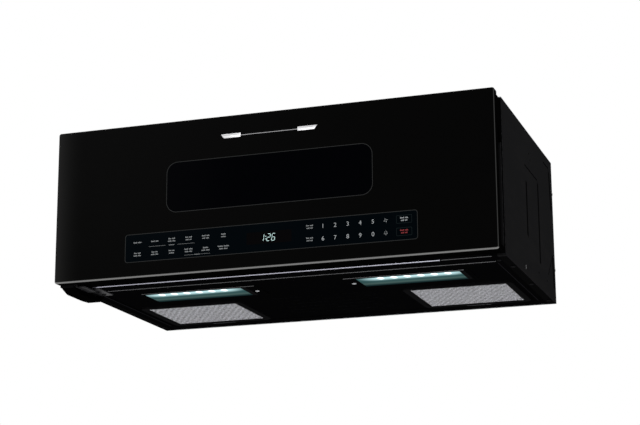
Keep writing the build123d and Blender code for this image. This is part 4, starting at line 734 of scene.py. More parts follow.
FINISHES: dict[str, Finish | LensFinish] = {finish.name: finish for finish in (
    # The door's gloss black, with highlights painted on its rolled edges.
    Finish(
        "gloss_black", (0.0009, 0.00088, 0.00085), 0.3, specular=0.0, coat=0.026, coat_roughness=0.3,
        scale=520.0, spread=0.18, bump=0.000012, smudge=0.2, smudge_colour=(0.002, 0.002, 0.0019),
        wear=0.4, wear_and_highlight_colour=(0.01, 0.01, 0.01), roll_highlight_colour=(0.3, 0.3, 0.295),
    ),
    BLACK_ENAMEL,
    # The side sheets' enamel, with shade painted in and beside their pressed lines.
    replace(
        BLACK_ENAMEL, name="side_enamel", colour=(0.0068, 0.0068, 0.0072), coat=0.01, coat_roughness=0.35,
        smudge=0.35, smudge_colour=(0.014, 0.013, 0.0135), wear_and_highlight_colour=(0.035, 0.035, 0.037),
        groove_shade_colour=(0.0007, 0.0007, 0.0008),
    ),
    Finish(
        "base_enamel", (0.0016, 0.0016, 0.0018), 0.5, specular=0.0, scale=1200.0, spread=0.3, bump=0.00004,
        smudge=0.25, smudge_colour=(0.003, 0.003, 0.0034), wear=0.7, wear_and_highlight_colour=(0.014, 0.014, 0.016),
    ),
    Finish(
        "window_tint", (0.0004, 0.0005, 0.001), 0.12, specular=0.004, scale=260.0, bump=0.0,
        roughness_swing=0.03, smudge=0.2, smudge_colour=(0.0008, 0.0009, 0.0015),
    ),
    Finish(
        "control_tint", (0.0005, 0.0016, 0.0026), 0.14, specular=0.005, scale=300.0, bump=0.0,
        roughness_swing=0.03, smudge=0.25, smudge_colour=(0.0012, 0.0024, 0.0034),
    ),
    Finish(
        "clear_glass", (0.86, 0.95, 0.93), 0.06, transmission=0.92, ior=1.47, scale=60.0, spread=0.02,
        bump=0.00003, roughness_swing=0.03,
    ),
    Finish(
        "dark_plastic", (0.0045, 0.0045, 0.0049), 0.5, specular=0.0, coat=0.015, coat_roughness=0.35,
        scale=1700.0, spread=0.35, bump=0.00006,
    ),
    Finish("white_plastic", (0.74, 0.74, 0.7), 0.42, spread=0.05, bump=0.00003),
    Finish("nylon", (0.66, 0.64, 0.58), 0.4, scale=700.0, spread=0.06, bump=0.00003),
    Finish(
        "zinc_steel", (0.5, 0.51, 0.53), 0.36, metallic=1.0, pattern=Effect.SPANGLE, scale=150.0,
        spread=0.16, bump=0.0, roughness_swing=0.1,
    ),
    replace(BRIGHT_TRIM, name="spring_steel", colour=(0.46, 0.46, 0.47), roughness=0.25, spread=0.2),
    Finish("filter_metal", (0.6, 0.6, 0.625), 0.42, metallic=0.75, pattern=Effect.NETTING, bump=0.00005),
    # The pull tab's bluish-grey edge colour is a painted highlight as well as wear.
    Finish(
        "blued_tab", (0.03, 0.036, 0.055), 0.35, metallic=0.6, pattern=Effect.BRUSHED, spread=0.3,
        wear=1.0, wear_and_highlight_colour=(0.16, 0.17, 0.2),
    ),
    Finish("cavity_enamel", (0.56, 0.56, 0.54), 0.3, speckle=0.5, scale=240.0, spread=0.05, bump=0.00005),
    BRIGHT_TRIM,
    Finish(
        "circuit_board", (0.03, 0.13, 0.055), 0.35, scale=320.0, spread=0.4, speckle=0.8,
        speckle_colour=(0.35, 0.3, 0.12), bump=0.00004,
    ),
    Finish(
        "lamp_board", (0.8, 0.82, 0.81), 0.4, scale=420.0, spread=0.05, speckle=0.3,
        speckle_colour=(0.5, 0.45, 0.2),
    ),
    Finish("core_steel", (0.19, 0.11, 0.06), 0.4, pattern=Effect.LAYERS, spread=0.35, bump=0.00012),
    Finish("mica", (0.6, 0.52, 0.4), 0.45, pattern=Effect.SPANGLE, scale=90.0, spread=0.12, bump=0.00003),
    BLACK_SCREW,
    replace(
        BLACK_SCREW, name="base_screw", colour=(0.006, 0.006, 0.0063), roughness=0.4, specular=0.0,
        coat=0.03, wear=0.8, wear_and_highlight_colour=(0.03, 0.03, 0.032),
    ),
    Finish(
        "filter_black", (0.003, 0.003, 0.0033), 0.42, specular=0.0, coat=0.01, coat_roughness=0.3,
        scale=1300.0, spread=0.3, wear=1.0, wear_and_highlight_colour=(0.03, 0.03, 0.033),
    ),
    Finish(
        "dark_steel", (0.03, 0.03, 0.032), 0.42, metallic=0.5, specular=0.0, pattern=Effect.BRUSHED,
        spread=0.35, bump=0.00003, wear=1.0, wear_and_highlight_colour=(0.16, 0.16, 0.165),
    ),
    replace(
        BRIGHT_TRIM, name="faint_hem", colour=(0.014, 0.014, 0.016), roughness=0.5, specular=0.0,
        metallic=0.0, spread=0.3,
    ),
    replace(
        BRIGHT_TRIM, name="bright_hem", colour=(0.6, 0.6, 0.7), roughness=0.3, metallic=0.9, spread=0.12,
    ),
    replace(
        BRIGHT_TRIM, name="dull_hem", colour=(0.12, 0.12, 0.125), roughness=0.4, metallic=0.8, spread=0.25,
    ),
    # A lighter black that paints the highlight on the openings' edges.
    Finish("border_highlight", (0.034, 0.035, 0.035), 0.4, specular=0.0),
    KEY_INK,
    replace(KEY_INK, name="digit_ink", colour=(0.34, 0.36, 0.37)),
    replace(KEY_INK, name="stop_ink", colour=(0.27, 0.008, 0.012)),
    PLAIN_INK,
    replace(PLAIN_INK, name="display_tint", colour=(0.0024, 0.0021, 0.0025), roughness=0.2),
    Finish("clock_light", (0.3, 0.36, 0.36), 0.5, emission=0.75, emission_colour=(0.66, 1.0, 0.95), bump=0.0),
    Finish("diode_light", (0.9, 0.9, 0.9), 0.4, emission=3.0, emission_colour=(0.9, 1.0, 1.0), bump=0.0),
)}
FINISHES["lamp_lens"] = LensFinish()


class FinishShop:
    """Makes each finish's material once and puts it on pieces."""

    def __init__(self) -> None:
        """Starts with an empty shelf."""
        self.effects = EffectBook()
        self.made: dict[str, bpy.types.Material] = {}

    def dress(self, piece: bpy.types.Object, name: str) -> None:
        """Gives a piece one finish in place of any it has.

        Args:
            piece: The piece.
            name: The finish, whose material is built when it is first asked for.
        """
        if name not in self.made:
            self.made[name] = FINISHES[name].material(self.effects)
        piece.data.materials.clear()
        piece.data.materials.append(self.made[name])


# --- surfaces ------------------------------------------------------------------------------------


@dataclass
class Surface:
    """A mesh as whole arrays: points in millimetres, four-sided faces and end caps."""

    points: np.ndarray
    quads: np.ndarray
    caps: list[list[int]] = field(default_factory=list)

    def placed(self, axes: np.ndarray, origin: Place) -> "Surface":
        """Returns the surface with its own axes laid along the given rows and its origin moved."""
        return Surface(self.points @ axes + np.asarray(origin, float), self.quads, self.caps)

    @staticmethod
    def stacked(points: np.ndarray, rows: int, columns: int) -> "Surface":
        """Closes a stack of closed loops.

        Args:
            points: The loops' points, one loop after the other.
            rows: How many loops there are.
            columns: Points in each loop.

        Returns:
            The walls between the loops, with a cap on the first and the last.
        """
        caps = [list(range(start, start + columns)) for start in (0, (rows - 1) * columns)]
        return Surface(points.reshape(-1, 3), grid_quads(rows, columns, False, True), caps)

    @staticmethod
    def joined(surfaces: list["Surface"]) -> "Surface":
        """Joins several surfaces.

        Args:
            surfaces: The surfaces, in order.

        Returns:
            One surface that holds all of them.
        """
        counts = np.cumsum([0] + [len(s.points) for s in surfaces])
        points = np.concatenate([s.points for s in surfaces])
        quads = np.concatenate([s.quads.reshape(-1, 4) + c for s, c in zip(surfaces, counts)])
        caps = [[int(i + c) for i in cap] for s, c in zip(surfaces, counts) for cap in s.caps]
        return Surface(points, quads, caps)


UPRIGHT = np.eye(3)
FACING_FRONT = np.array([[1.0, 0.0, 0.0], [0.0, 0.0, 1.0], [0.0, -1.0, 0.0]])
FACING_DOWN = np.array([[1.0, 0.0, 0.0], [0.0, 1.0, 0.0], [0.0, 0.0, -1.0]])


def grid_quads(rows: int, columns: int, close_rows: bool, close_columns: bool) -> np.ndarray:
    """Numbers the faces of a grid of points held row by row.

    Args:
        rows: Points along the first parameter.
        columns: Points along the second parameter.
        close_rows: Whether the last row joins the first.
        close_columns: Whether the last column joins the first.

    Returns:
        An array of point numbers, four to a face.
    """
    i = np.arange(rows if close_rows else rows - 1)[:, None]
    j = np.arange(columns if close_columns else columns - 1)[None, :]
    corners = [(i, j), (i + 1, j), (i + 1, j + 1), (i, j + 1)]
    numbered = [(a % rows) * columns + (b % columns) for a, b in corners]
    return np.stack(numbered, axis=-1).reshape(-1, 4)


def lathed(radii: np.ndarray, heights: np.ndarray, sides: int) -> Surface:
    """Turns a profile about the third axis: point(a, t) = (r(t) cos a, r(t) sin a, h(t)).

    Args:
        radii: The profile's distance from the axis, over zero at both ends.
        heights: The profile's place along the axis.
        sides: Steps round the axis.

    Returns:
        The closed surface, with its ends capped.
    """
    angle = np.linspace(0, 2 * math.pi, sides, endpoint=False)[None, :]
    r, h = np.asarray(radii, float)[:, None], np.asarray(heights, float)[:, None]
    points = np.stack([r * np.cos(angle), r * np.sin(angle), h + 0 * angle], axis=-1)
    return Surface.stacked(points, len(radii), sides)


def rectangle(left: float, low: float, right: float, high: float) -> np.ndarray:
    """Walks round a plain rectangle from its lower left corner."""
    return np.array([[left, low], [right, low], [right, high], [left, high]])


def rounded_rectangle(width: float, height: float, radius: float, corner_steps: int = 8) -> np.ndarray:
    """Walks round a rectangle with round corners: four quarter circles joined by straight sides.

    Args:
        width: Size along the first axis.
        height: Size along the second axis.
        radius: Corner radius.
        corner_steps: Points on each corner.

    Returns:
        Points in the plane with, in columns 2 and 3, the outward direction at each.
    """
    angle = np.radians(np.arange(4)[:, None] * 90 + np.linspace(0, 90, corner_steps)[None, :]).ravel()
    sign_x = np.repeat([1, -1, -1, 1], corner_steps)
    sign_y = np.repeat([1, 1, -1, -1], corner_steps)
    outward = np.stack([np.cos(angle), np.sin(angle)], axis=-1)
    centre = np.stack([sign_x * (width / 2 - radius), sign_y * (height / 2 - radius)], axis=-1)
    return np.concatenate([centre + radius * outward, outward], axis=1)


def hoop(outline: np.ndarray, profile: np.ndarray) -> Surface:
    """Carries a closed profile round a closed outline: point(s, t) = outline(s) + out(s) p(t), height h(t).

    Args:
        outline: Points and outward directions, as rounded_rectangle gives them.
        profile: Closed loop of (outward, height) pairs.

    Returns:
        The closed ring.
    """
    ring = outline[:, None, :2] + outline[:, None, 2:] * profile[None, :, :1]
    height = np.broadcast_to(profile[None, :, 1:], ring.shape[:2] + (1,))
    points = np.concatenate([ring, height], axis=-1).reshape(-1, 3)
    return Surface(points, grid_quads(len(outline), len(profile), True, True))


def slab(outline: np.ndarray, low: float, high: float) -> Surface:
    """Thickens a flat outline along the third axis.

    Args:
        outline: Points in the plane; columns past the second are left out.
        low: Height of its lower face.
        high: Height of its upper face.

    Returns:
        Its walls and both faces.
    """
    flat = np.asarray(outline, float)[:, :2]
    loops = [np.column_stack([flat, np.full(len(flat), height)]) for height in (low, high)]
    return Surface.stacked(np.concatenate(loops), 2, len(flat))


def tube(path: np.ndarray, radius: float, sides: int, width: float = 1.0) -> Surface:
    """Carries a circle along a path: point(s, a) = path(s) + r (w cos a side(s) + sin a up(s)).

    Args:
        path: Points along the middle line.
        radius: The circle's radius.
        sides: Steps round the circle.
        width: How much wider than high the section is.

    Returns:
        The tube with capped ends.
    """
    line = np.gradient(path, axis=0)
    line /= np.linalg.norm(line, axis=1, keepdims=True)
    helper = np.where(np.abs(line[:, 2:]) < 0.9, [[0.0, 0.0, 1.0]], [[1.0, 0.0, 0.0]])
    side = np.cross(line, helper)
    side /= np.linalg.norm(side, axis=1, keepdims=True)
    up = np.cross(side, line)
    angle = np.linspace(0, 2 * math.pi, sides, endpoint=False)[None, :, None]
    ring = width * np.cos(angle) * side[:, None, :] + np.sin(angle) * up[:, None, :]
    return Surface.stacked(path[:, None, :] + radius * ring, len(path), sides)


def box_of(node: str) -> tuple[np.ndarray, np.ndarray, np.ndarray]:
    """Returns a CAD node's lowest corner, highest corner and middle in millimetres."""
    low, high = (np.array(corner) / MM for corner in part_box(node))
    return low, high, (low + high) / 2


def solids_of(node: str) -> list[np.ndarray]:
    """Splits a CAD node's mesh into its separate solids.

    Args:
        node: The node's name.

    Returns:
        One array of points in millimetres for each solid.
    """
    work = bmesh.new()
    work.from_mesh(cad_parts[node].data)
    bmesh.ops.remove_doubles(work, verts=work.verts, dist=TOUCH_DISTANCE)
    work.verts.ensure_lookup_table()
    left = set(range(len(work.verts)))
    solids = []
    while left:
        reached, edge = set(), [min(left)]
        while edge:
            number = edge.pop()
            if number in reached:
                continue
            reached.add(number)
            edge += [e.other_vert(work.verts[number]).index for e in work.verts[number].link_edges]
        left -= reached
        solids.append(np.array([work.verts[i].co[:] for i in sorted(reached)]) / MM)
    work.free()
    return solids


# --- stage ---------------------------------------------------------------------------------------


@dataclass
class Studio:
    """The camera at the photograph's angle, plain soft light and a pale floor below the object.

    A lamp's row gives its name, its place, what it looks at, its size and its power.
    """

    camera_place: Place = (0.9459, -3.0313, -0.6205)
    heading: float = -18.47
    pitch: float = 14.51
    roll: float = -0.32
    focal_pixels: float = 1750.6
    sensor_width: float = 36.0
    floor_height: float = -2.5
    floor_size: float = 14.0
    floor_colour: Colour = (0.86, 0.86, 0.86)
    floor_roughness: float = 0.9
    world_light: float = 0.62
    lamps: tuple[tuple[str, Place, Place, tuple[float, float], float], ...] = (
        ("key_light", (-1.9, -2.6, 1.5), (-0.2, -0.45, 0.1), (1.9, 1.6), 26.0),
        ("side_light", (3.4, -0.9, 0.9), (0.38, -0.2, 0.1), (2.0, 1.6), 34.0),
        ("lower_light", (0.3, -2.2, -2.0), (0.1, -0.3, 0.0), (1.8, 1.0), 18.0),
    )

    def build(self) -> None:
        """Makes the camera, the world, the floor and the lamps."""
        self._camera()
        self._world()
        self._floor()
        for lamp in self.lamps:
            self._lamp(*lamp)

    def _camera(self) -> None:
        """Sets the camera from its heading, pitch and roll."""
        data = bpy.data.cameras.new("camera")
        data.sensor_width = self.sensor_width
        data.lens = self.focal_pixels * self.sensor_width / PHOTO_WIDTH
        camera = bpy.data.objects.new("camera", data)
        yaw, pitch, roll = (math.radians(v) for v in (self.heading, self.pitch, self.roll))
        ahead = Vector((math.sin(yaw) * math.cos(pitch), math.cos(yaw) * math.cos(pitch), math.sin(pitch)))
        level = Vector((math.cos(yaw), -math.sin(yaw), 0.0))
        upright = level.cross(ahead)
        right = math.cos(roll) * level + math.sin(roll) * upright
        up = math.cos(roll) * upright - math.sin(roll) * level
        turn = Matrix((right, up, -ahead)).transposed()
        camera.matrix_world = Matrix.Translation(self.camera_place) @ turn.to_4x4()
        bpy.context.scene.collection.objects.link(camera)
        bpy.context.scene.camera = camera

    def _world(self) -> None:
        """Shows white to the camera, to reflections and through glass, and lights softly."""
        world = bpy.data.worlds.new("studio")
        world.use_nodes = True
        tree = Tree(world.node_tree)
        path = tree.add("LightPath")
        camera, glossy, through = (tree.out(path, f"Is {ray} Ray") for ray in ("Camera", "Glossy", "Transmission"))
        seen = camera.at_least(glossy).at_least(through)
        background = world.node_tree.nodes["Background"]
        background.inputs["Color"].default_value = (1.0, 1.0, 1.0, 1.0)
        tree.join(seen.ramp(0.0, 1.0, self.world_light, 1.0), background.inputs["Strength"])
        bpy.context.scene.world = world

    def _floor(self) -> None:
        """Lays a pale floor that shows its upper side only, so views from below see past it."""
        half = self.floor_size / 2
        mesh = bpy.data.meshes.new("studio_floor")
        corners = [(x, y, self.floor_height) for x, y in rectangle(-half, -half, half, half)]
        mesh.from_pydata(corners, [], [(0, 1, 2, 3)])
        floor = bpy.data.objects.new("studio_floor", mesh)
        bpy.context.scene.collection.objects.link(floor)
        material, tree, shader = open_material("studio_floor")
        set_sockets(shader, {"Base Color": (*self.floor_colour, 1.0), "Roughness": self.floor_roughness})
        choice = tree.add("MixShader")
        back = tree.out(tree.add("NewGeometry"), "Backfacing")
        clear = tree.out(tree.add("BsdfTransparent"), 0)
        for source, socket in zip((back, tree.out(shader, 0), clear), choice.inputs):
            tree.join(source, socket)
        tree.join(tree.out(choice, 0), material.node_tree.nodes["Material Output"].inputs["Surface"])
        mesh.materials.append(material)

    def _lamp(self, name: str, place: Place, target: Place, size: tuple[float, float], power: float) -> None:
        """Hangs a soft rectangular lamp.

        Args:
            name: The lamp's name.
            place: Where it hangs.
            target: What it looks at.
            size: Its width and height.
            power: Its power in watts.
        """
        data = bpy.data.lights.new(name, "AREA")
        data.shape = "RECTANGLE"
        data.size, data.size_y = size
        data.energy = power
        lamp = bpy.data.objects.new(name, data)
        lamp.location = place
        lamp.rotation_euler = (Vector(target) - Vector(place)).to_track_quat("-Z", "Y").to_euler()
        bpy.context.scene.collection.objects.link(lamp)


# --- sub-assemblies ------------------------------------------------------------------------------


@dataclass
class SubAssembly:
    """A sub-assembly, which writes its pieces and dresses them in the shop's finishes."""

    shop: FinishShop

    def write(
        self, surface: Surface, name: str, body: str, slot: str, finish: str, stands_for: str | None = None,
    ) -> bpy.types.Object:
        """Writes a surface as a finished piece of the object.

        Args:
            surface: The mesh, in millimetres in the frame's axes.
            name: The piece's name.
            body: The CAD body that it rides on.
            slot: A material slot's name; not used.
            finish: The finish it is dressed in.
            stands_for: The CAD node that it replaces, if any.

        Returns:
            The new object, at the origin, with outward faces.
        """
        mesh = bpy.data.meshes.new(name)
        mesh.from_pydata((surface.points * MM).tolist(), [], surface.quads.tolist() + surface.caps)
        work = bmesh.new()
        work.from_mesh(mesh)
        bmesh.ops.remove_doubles(work, verts=work.verts, dist=WELD_DISTANCE)
        bmesh.ops.recalc_face_normals(work, faces=work.faces)
        work.to_mesh(mesh)
        work.free()
        mesh.shade_smooth()
        mesh.set_sharp_from_angle(angle=SMOOTH_ANGLE)
        piece = bpy.data.objects.new(name, mesh)
        bpy.context.scene.collection.objects.link(piece)
        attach(piece, body)
        if stands_for:
            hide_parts(stands_for)
        self.shop.dress(piece, finish)
        log.info("%s: %d points on %s", name, len(mesh.vertices), body)
        return piece


@dataclass
class CadFinishes(SubAssembly):
    """Dresses every CAD node that stays, by its slot, with a few nodes in a finish of their own."""

    own_finish: dict[str, str] = field(default_factory=lambda: {
        "base_pan": "base_enamel",
        "front_plate": "base_enamel",
        "lamp_bezels": "base_enamel",
        "latch_housing": "base_enamel",
        "lower_hinge_bracket": "dark_steel",
        "left_side_panel": "side_enamel",
        "right_side_panel": "side_enamel",
    })

    def build(self) -> None:
        """Gives each node its finish."""
        for name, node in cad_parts.items():
            slot = node.data.materials[0].name.split(".")[0]
            self.shop.dress(node, self.own_finish.get(name, slot))
            log.info("%s dressed", name)


@dataclass
class GreaseFilter(SubAssembly):
    """One grease filter: a pressed rim with a pull tab, a bright bead and layers of expanded mesh.

    A layer's row gives the length and height of its openings, its height over the net's lower face, and
    its shift along X.
    """

    side: str
    rim_width: float = 8.0
    lap: float = 4.0
    wall: float = 0.9
    lip_height: float = 1.6
    outer_roll: float = 1.0
    inner_roll: float = 0.7
    corner: float = 0.8
    tab_width: float = 44.0
    tab_start: float = 9.5
    tab_reach: float = 9.3
    tab_rise: float = 1.3
    tab_bend: float = 1.1
    tab_sheet: float = 0.7
    bead_radius: float = 0.5
    bead_rise: float = 0.6
    bead_inset: float = 1.2
    bead_corner: float = 1.5
    strand_width: float = 0.75
    strand_height: float = 0.34
    strand_ripple: float = 0.12
    steps_in_opening: int = 6
    layers: tuple[tuple[tuple[float, float], float, float], ...] = (((6.0, 4.2), 0.25, 0.0), ((4.6, 3.3), 0.75, 0.5))
    backing_steps: tuple[int, int] = (90, 80)
    backing_drop: float = 0.25
    backing_sheet: float = 0.1
    backing_swing: float = 0.05

    def __post_init__(self) -> None:
        """Reads the boxes of the CAD filter's frame and net."""
        self.low, self.high, _ = box_of(f"{self.side}_filter_frame")
        self.net_low, self.net_high, self.middle = box_of(f"{self.side}_filter_mesh")

    def build(self) -> None:
        """Builds the rim, the tab, the bead and the net, and lets them stand for the CAD nodes."""
        name = f"{self.side}_filter"
        for part, surface, slot, finish, stands_for in (
            ("rim", self._rim(), "dark_plastic", "filter_black", f"{name}_frame"),
            ("tab", self._tab(), "dark_plastic", "blued_tab", f"{name}_frame"),
            ("bead", self._bead(), "filter_metal", "filter_metal", None),
            ("net", self._net(), "filter_metal", "filter_metal", f"{name}_mesh"),
        ):
            self.write(surface, f"{name}_{part}", name, slot, finish, stands_for)

    def _round_net(self, profile: np.ndarray, inset: float, corner: float) -> Surface:
        """Carries a profile of (outward, height) pairs round the net, inset from the rim's inner edge.

        Args:
            profile: The closed section.
            inset: How much less wide and deep than the rim's opening the outline is.
            corner: The outline's corner radius.

        Returns:
            The ring, in its place.
        """
        width, depth = self.net_high[:2] - self.net_low[:2] - 2 * self.lap - inset
        ring = hoop(rounded_rectangle(width, depth, corner), profile)
        return ring.placed(UPRIGHT, (self.middle[0], self.middle[1], 0.0))

    def _rim(self) -> Surface:
        """Draws the pressed rim's section, an outer roll, a flat and an inner roll, and carries it round.

        Returns:
            The rim.
        """
        bottom, top, wide = self.low[2], self.high[2], self.rim_width + self.lap
        angle, big, small = np.linspace(0, math.pi / 2, 5), self.outer_roll, self.inner_roll
        outer = np.column_stack([wide - big + big * np.cos(angle), bottom + big - big * np.sin(angle)])
        inner = np.column_stack([small - small * np.sin(angle), bottom + small - small * np.cos(angle)])
        lip, wall = bottom + self.lip_height, self.lap + self.wall
        profile = np.concatenate([[[wide, top]], outer, inner, [[0.0, lip], [wall, lip], [wall, top]]])
        return self._round_net(profile, 0.0, self.corner)

    def _tab(self) -> Surface:
        """Bends the pull tab down at the rear edge: lift(t) falls as the sine of a quarter turn.

        Returns:
            The tab, a bent strip of even thickness.
        """
        step = np.linspace(0, 1, 7)[:, None]
        across = self.middle[0] + np.linspace(-self.tab_width / 2, self.tab_width / 2, 9)[None, :]
        depth = self.high[1] - self.tab_start + self.tab_reach * step
        lift = self.low[2] + self.tab_rise - self.tab_bend * np.sin(step * math.pi / 2)
        lower, upper = (
            np.stack(np.broadcast_arrays(across, depth, lift + rise), axis=-1) for rise in (0.0, self.tab_sheet)
        )
        loop = np.concatenate([lower, upper[::-1]], axis=0)
        rows, columns = loop.shape[:2]
        caps = [[r * columns + end for r in range(rows)] for end in (0, columns - 1)]
        return Surface(loop.reshape(-1, 3), grid_quads(rows, columns, True, False), caps)

    def _bead(self) -> Surface:
        """Carries the net's folded edge round the opening.

        Returns:
            A small round bead.
        """
        angle, radius = np.linspace(0, 2 * math.pi, 8, endpoint=False), self.bead_radius
        height = self.net_low[2] + self.bead_rise + radius * np.sin(angle)
        profile = np.column_stack([radius * np.cos(angle), height])
        return self._round_net(profile, self.bead_inset, self.bead_corner)

    def _net(self) -> Surface:
        """Lays the layers of expanded metal under their backing."""
        strands = [self._strands(diamond, self.net_low[2] + rise, phase) for diamond, rise, phase in self.layers]
        return Surface.joined([*strands, self._backing()])

    def _strands(self, diamond: tuple[float, float], height: float, phase: float) -> Surface:
        """Lays expanded-metal strands: strand j is y = (j + s/2) h with s a sine of alternate sign.

        Args:
            diamond: Length and height of one opening.
            height: The layer's middle in Z.
            phase: Shift along X in openings.

        Returns:
            All strands of one layer, each a flat four-sided bar.
        """
        low, high = self.net_low, self.net_high
        length, rise = diamond
        steps = int((high[0] - low[0]) / length * self.steps_in_opening)
        rows = int((high[1] - low[1]) / rise) + 1
        x = np.linspace(low[0], high[0], steps + 1)[None, :]
        number = np.arange(rows)[:, None]
        sign = np.where(number % 2, -1.0, 1.0)
        turn = 2 * math.pi * ((x - low[0]) / length + phase)
        y = np.clip(low[1] + (number + 0.5 + sign * np.sin(turn) / 2) * rise, low[1], high[1])
        z = height + self.strand_ripple * sign * np.cos(turn)
        corners = rectangle(-0.5, -0.5, 0.5, 0.5)
        across = y[..., None] + corners[:, 0] * self.strand_width
        upward = z[..., None] + corners[:, 1] * self.strand_height
        points = np.stack([np.broadcast_to(x[..., None], across.shape), across, upward], axis=-1)
        return Surface.joined([Surface.stacked(strand, steps + 1, 4) for strand in points])

    def _backing(self) -> Surface:
        """Closes the net with the crumpled innermost sheet: height is a sum of three crossed sines.

        Returns:
            The sheet with its edge walls.
        """
        rows, columns = self.backing_steps
        x = np.linspace(self.net_low[0], self.net_high[0], rows)[:, None]
        y = np.linspace(self.net_low[1], self.net_high[1], columns)[None, :]
        crumple = np.sin(2.1 * x + 0.7 * y) + np.sin(1.7 * y - 0.9 * x) + np.sin(0.8 * x + 2.6 * y)
        lower = self.net_high[2] - self.backing_drop + self.backing_swing * crumple
        faces = [
            np.stack(np.broadcast_arrays(x, y, lower + rise), axis=-1).reshape(-1, 3)
            for rise in (0.0, self.backing_sheet)
        ]
        sheet, count = grid_quads(rows, columns, False, False), rows * columns
        border = np.concatenate([
            np.arange(0, columns), np.arange(2, rows) * columns - 1,
            np.arange(count - 1, count - columns - 1, -1), np.arange(rows - 2, 0, -1) * columns,
        ])
        following = np.roll(border, -1)
        walls = np.stack([border, following, following + count, border + count], axis=-1)
        return Surface(np.concatenate(faces), np.concatenate([sheet, sheet + count, walls]))


@dataclass
class Screws(SubAssembly):
    """Pan-head screws with a cross recess, one for each solid of a CAD screw node."""

    node: str
    body: str
    between_lamps: float = 100.0
    above_lamps: float = 12.0
    near_base: float = 4.0
    round_within: float = 0.5
    point_radius: float = 0.02
    head_from: float = 0.9
    end_reach: float = 0.5
    end_bevel: tuple[float, float] = (0.3, 0.4)
    under_share: float = 0.97
    side_share: float = 0.7
    rim_share: float = 0.35
    recess_depth: float = 1.1
    recess_reach: float = 0.62
    recess_width: float = 0.14
    sides: int = 32
    rings: int = 11

    def build(self) -> None:
        """Builds one screw on each solid, sorted by finish: lamp screws bright, base screws the darkest."""
        sets: dict[str, list[Surface]] = {"black_screw": [], "base_screw": [], "zinc_steel": []}
        for solid in solids_of(self.node):
            sets[self._finish_of(solid)].append(self._screw(solid))
        for finish, screws in sets.items():
            if screws:
                name = f"{self.node}_{finish}"
                self.write(Surface.joined(screws), name, self.body, "black_screw", finish, self.node)

    def _finish_of(self, solid: np.ndarray) -> str:
        """Picks a screw's finish from its place: between the lamps, elsewhere under the base, or above.

        Args:
            solid: The CAD screw's points.

        Returns:
            The finish's name.
        """
        low, high = solid.min(axis=0), solid.max(axis=0)
        middle = (low + high) / 2
        lamp_low, lamp_high, _ = box_of("lamp_bezels")
        beside = abs(middle[0]) < self.between_lamps and lamp_low[1] < middle[1] < lamp_high[1]
        if beside and middle[2] < lamp_high[2] + self.above_lamps:
            return "zinc_steel"
        upright = np.ptp(high[:2] - low[:2]) < self.round_within
        return "base_screw" if low[2] < self.near_base and upright else "black_screw"

    def _screw(self, solid: np.ndarray) -> Surface:
        """Turns a dome over a shank and sinks a cross in it, in the solid's own place.

        Args:
            solid: The CAD screw's points.

        Returns:
            The screw: r(t) up the shank, round the head's rim and over its dome, less the cross.
        """
        low, high = solid.min(axis=0), solid.max(axis=0)
        size, middle = high - low, (low + high) / 2
        axis = int(np.argmin([abs(size[(k + 1) % 3] - size[(k + 2) % 3]) for k in range(3)]))
        others = [k for k in range(3) if k != axis]
        reach = np.hypot(*(solid[:, k] - middle[k] for k in others))
        head_radius, along, total = reach.max(), solid[:, axis], size[axis]
        rim = along[reach > self.head_from * head_radius]
        head_is_low = rim.mean() < middle[axis]
        head_height = (rim.max() - low[axis]) if head_is_low else (high[axis] - rim.min())
        end = (along > high[axis] - self.end_reach) if head_is_low else (along < low[axis] + self.end_reach)
        shank = reach[end].max()
        turn = np.linspace(0, 2 * math.pi, self.sides, endpoint=False)[None, :]
        lift, under = np.linspace(0, math.pi / 2, self.rings), total - head_height
        dome_r = head_radius * np.cos(lift)
        dome_h = under + head_height * (self.rim_share + (1 - self.rim_share) * np.sin(lift))
        bevel_in, bevel_up = self.end_bevel
        radii = np.concatenate([
            [self.point_radius, shank - bevel_in, shank, shank, head_radius * self.under_share, head_radius],
            dome_r[1:-1], [self.point_radius],
        ])
        side = total - head_height * self.side_share
        heights = np.concatenate([[0.0, 0.0, bevel_up, under, under, side], dome_h[1:]])
        r, h = radii[:, None], heights[:, None]
        narrow = np.minimum(np.abs(r * np.cos(turn)), np.abs(r * np.sin(turn))) / head_radius
        inside = (r < self.recess_reach * head_radius) & (narrow < self.recess_width) & (h > under)
        h = np.where(inside, h - self.recess_depth * (1 - 0.5 * r / head_radius), h + 0 * turn)
        points = np.stack([r * np.cos(turn), r * np.sin(turn), h], axis=-1)
        axes = np.zeros((3, 3))
        axes[0, others[0]] = axes[1, others[1]] = 1.0
        axes[2, axis] = -1.0 if head_is_low else 1.0
        origin = middle.copy()
        origin[axis] = high[axis] if head_is_low else low[axis]
        return Surface.stacked(points, len(radii), self.sides).placed(axes, tuple(origin))


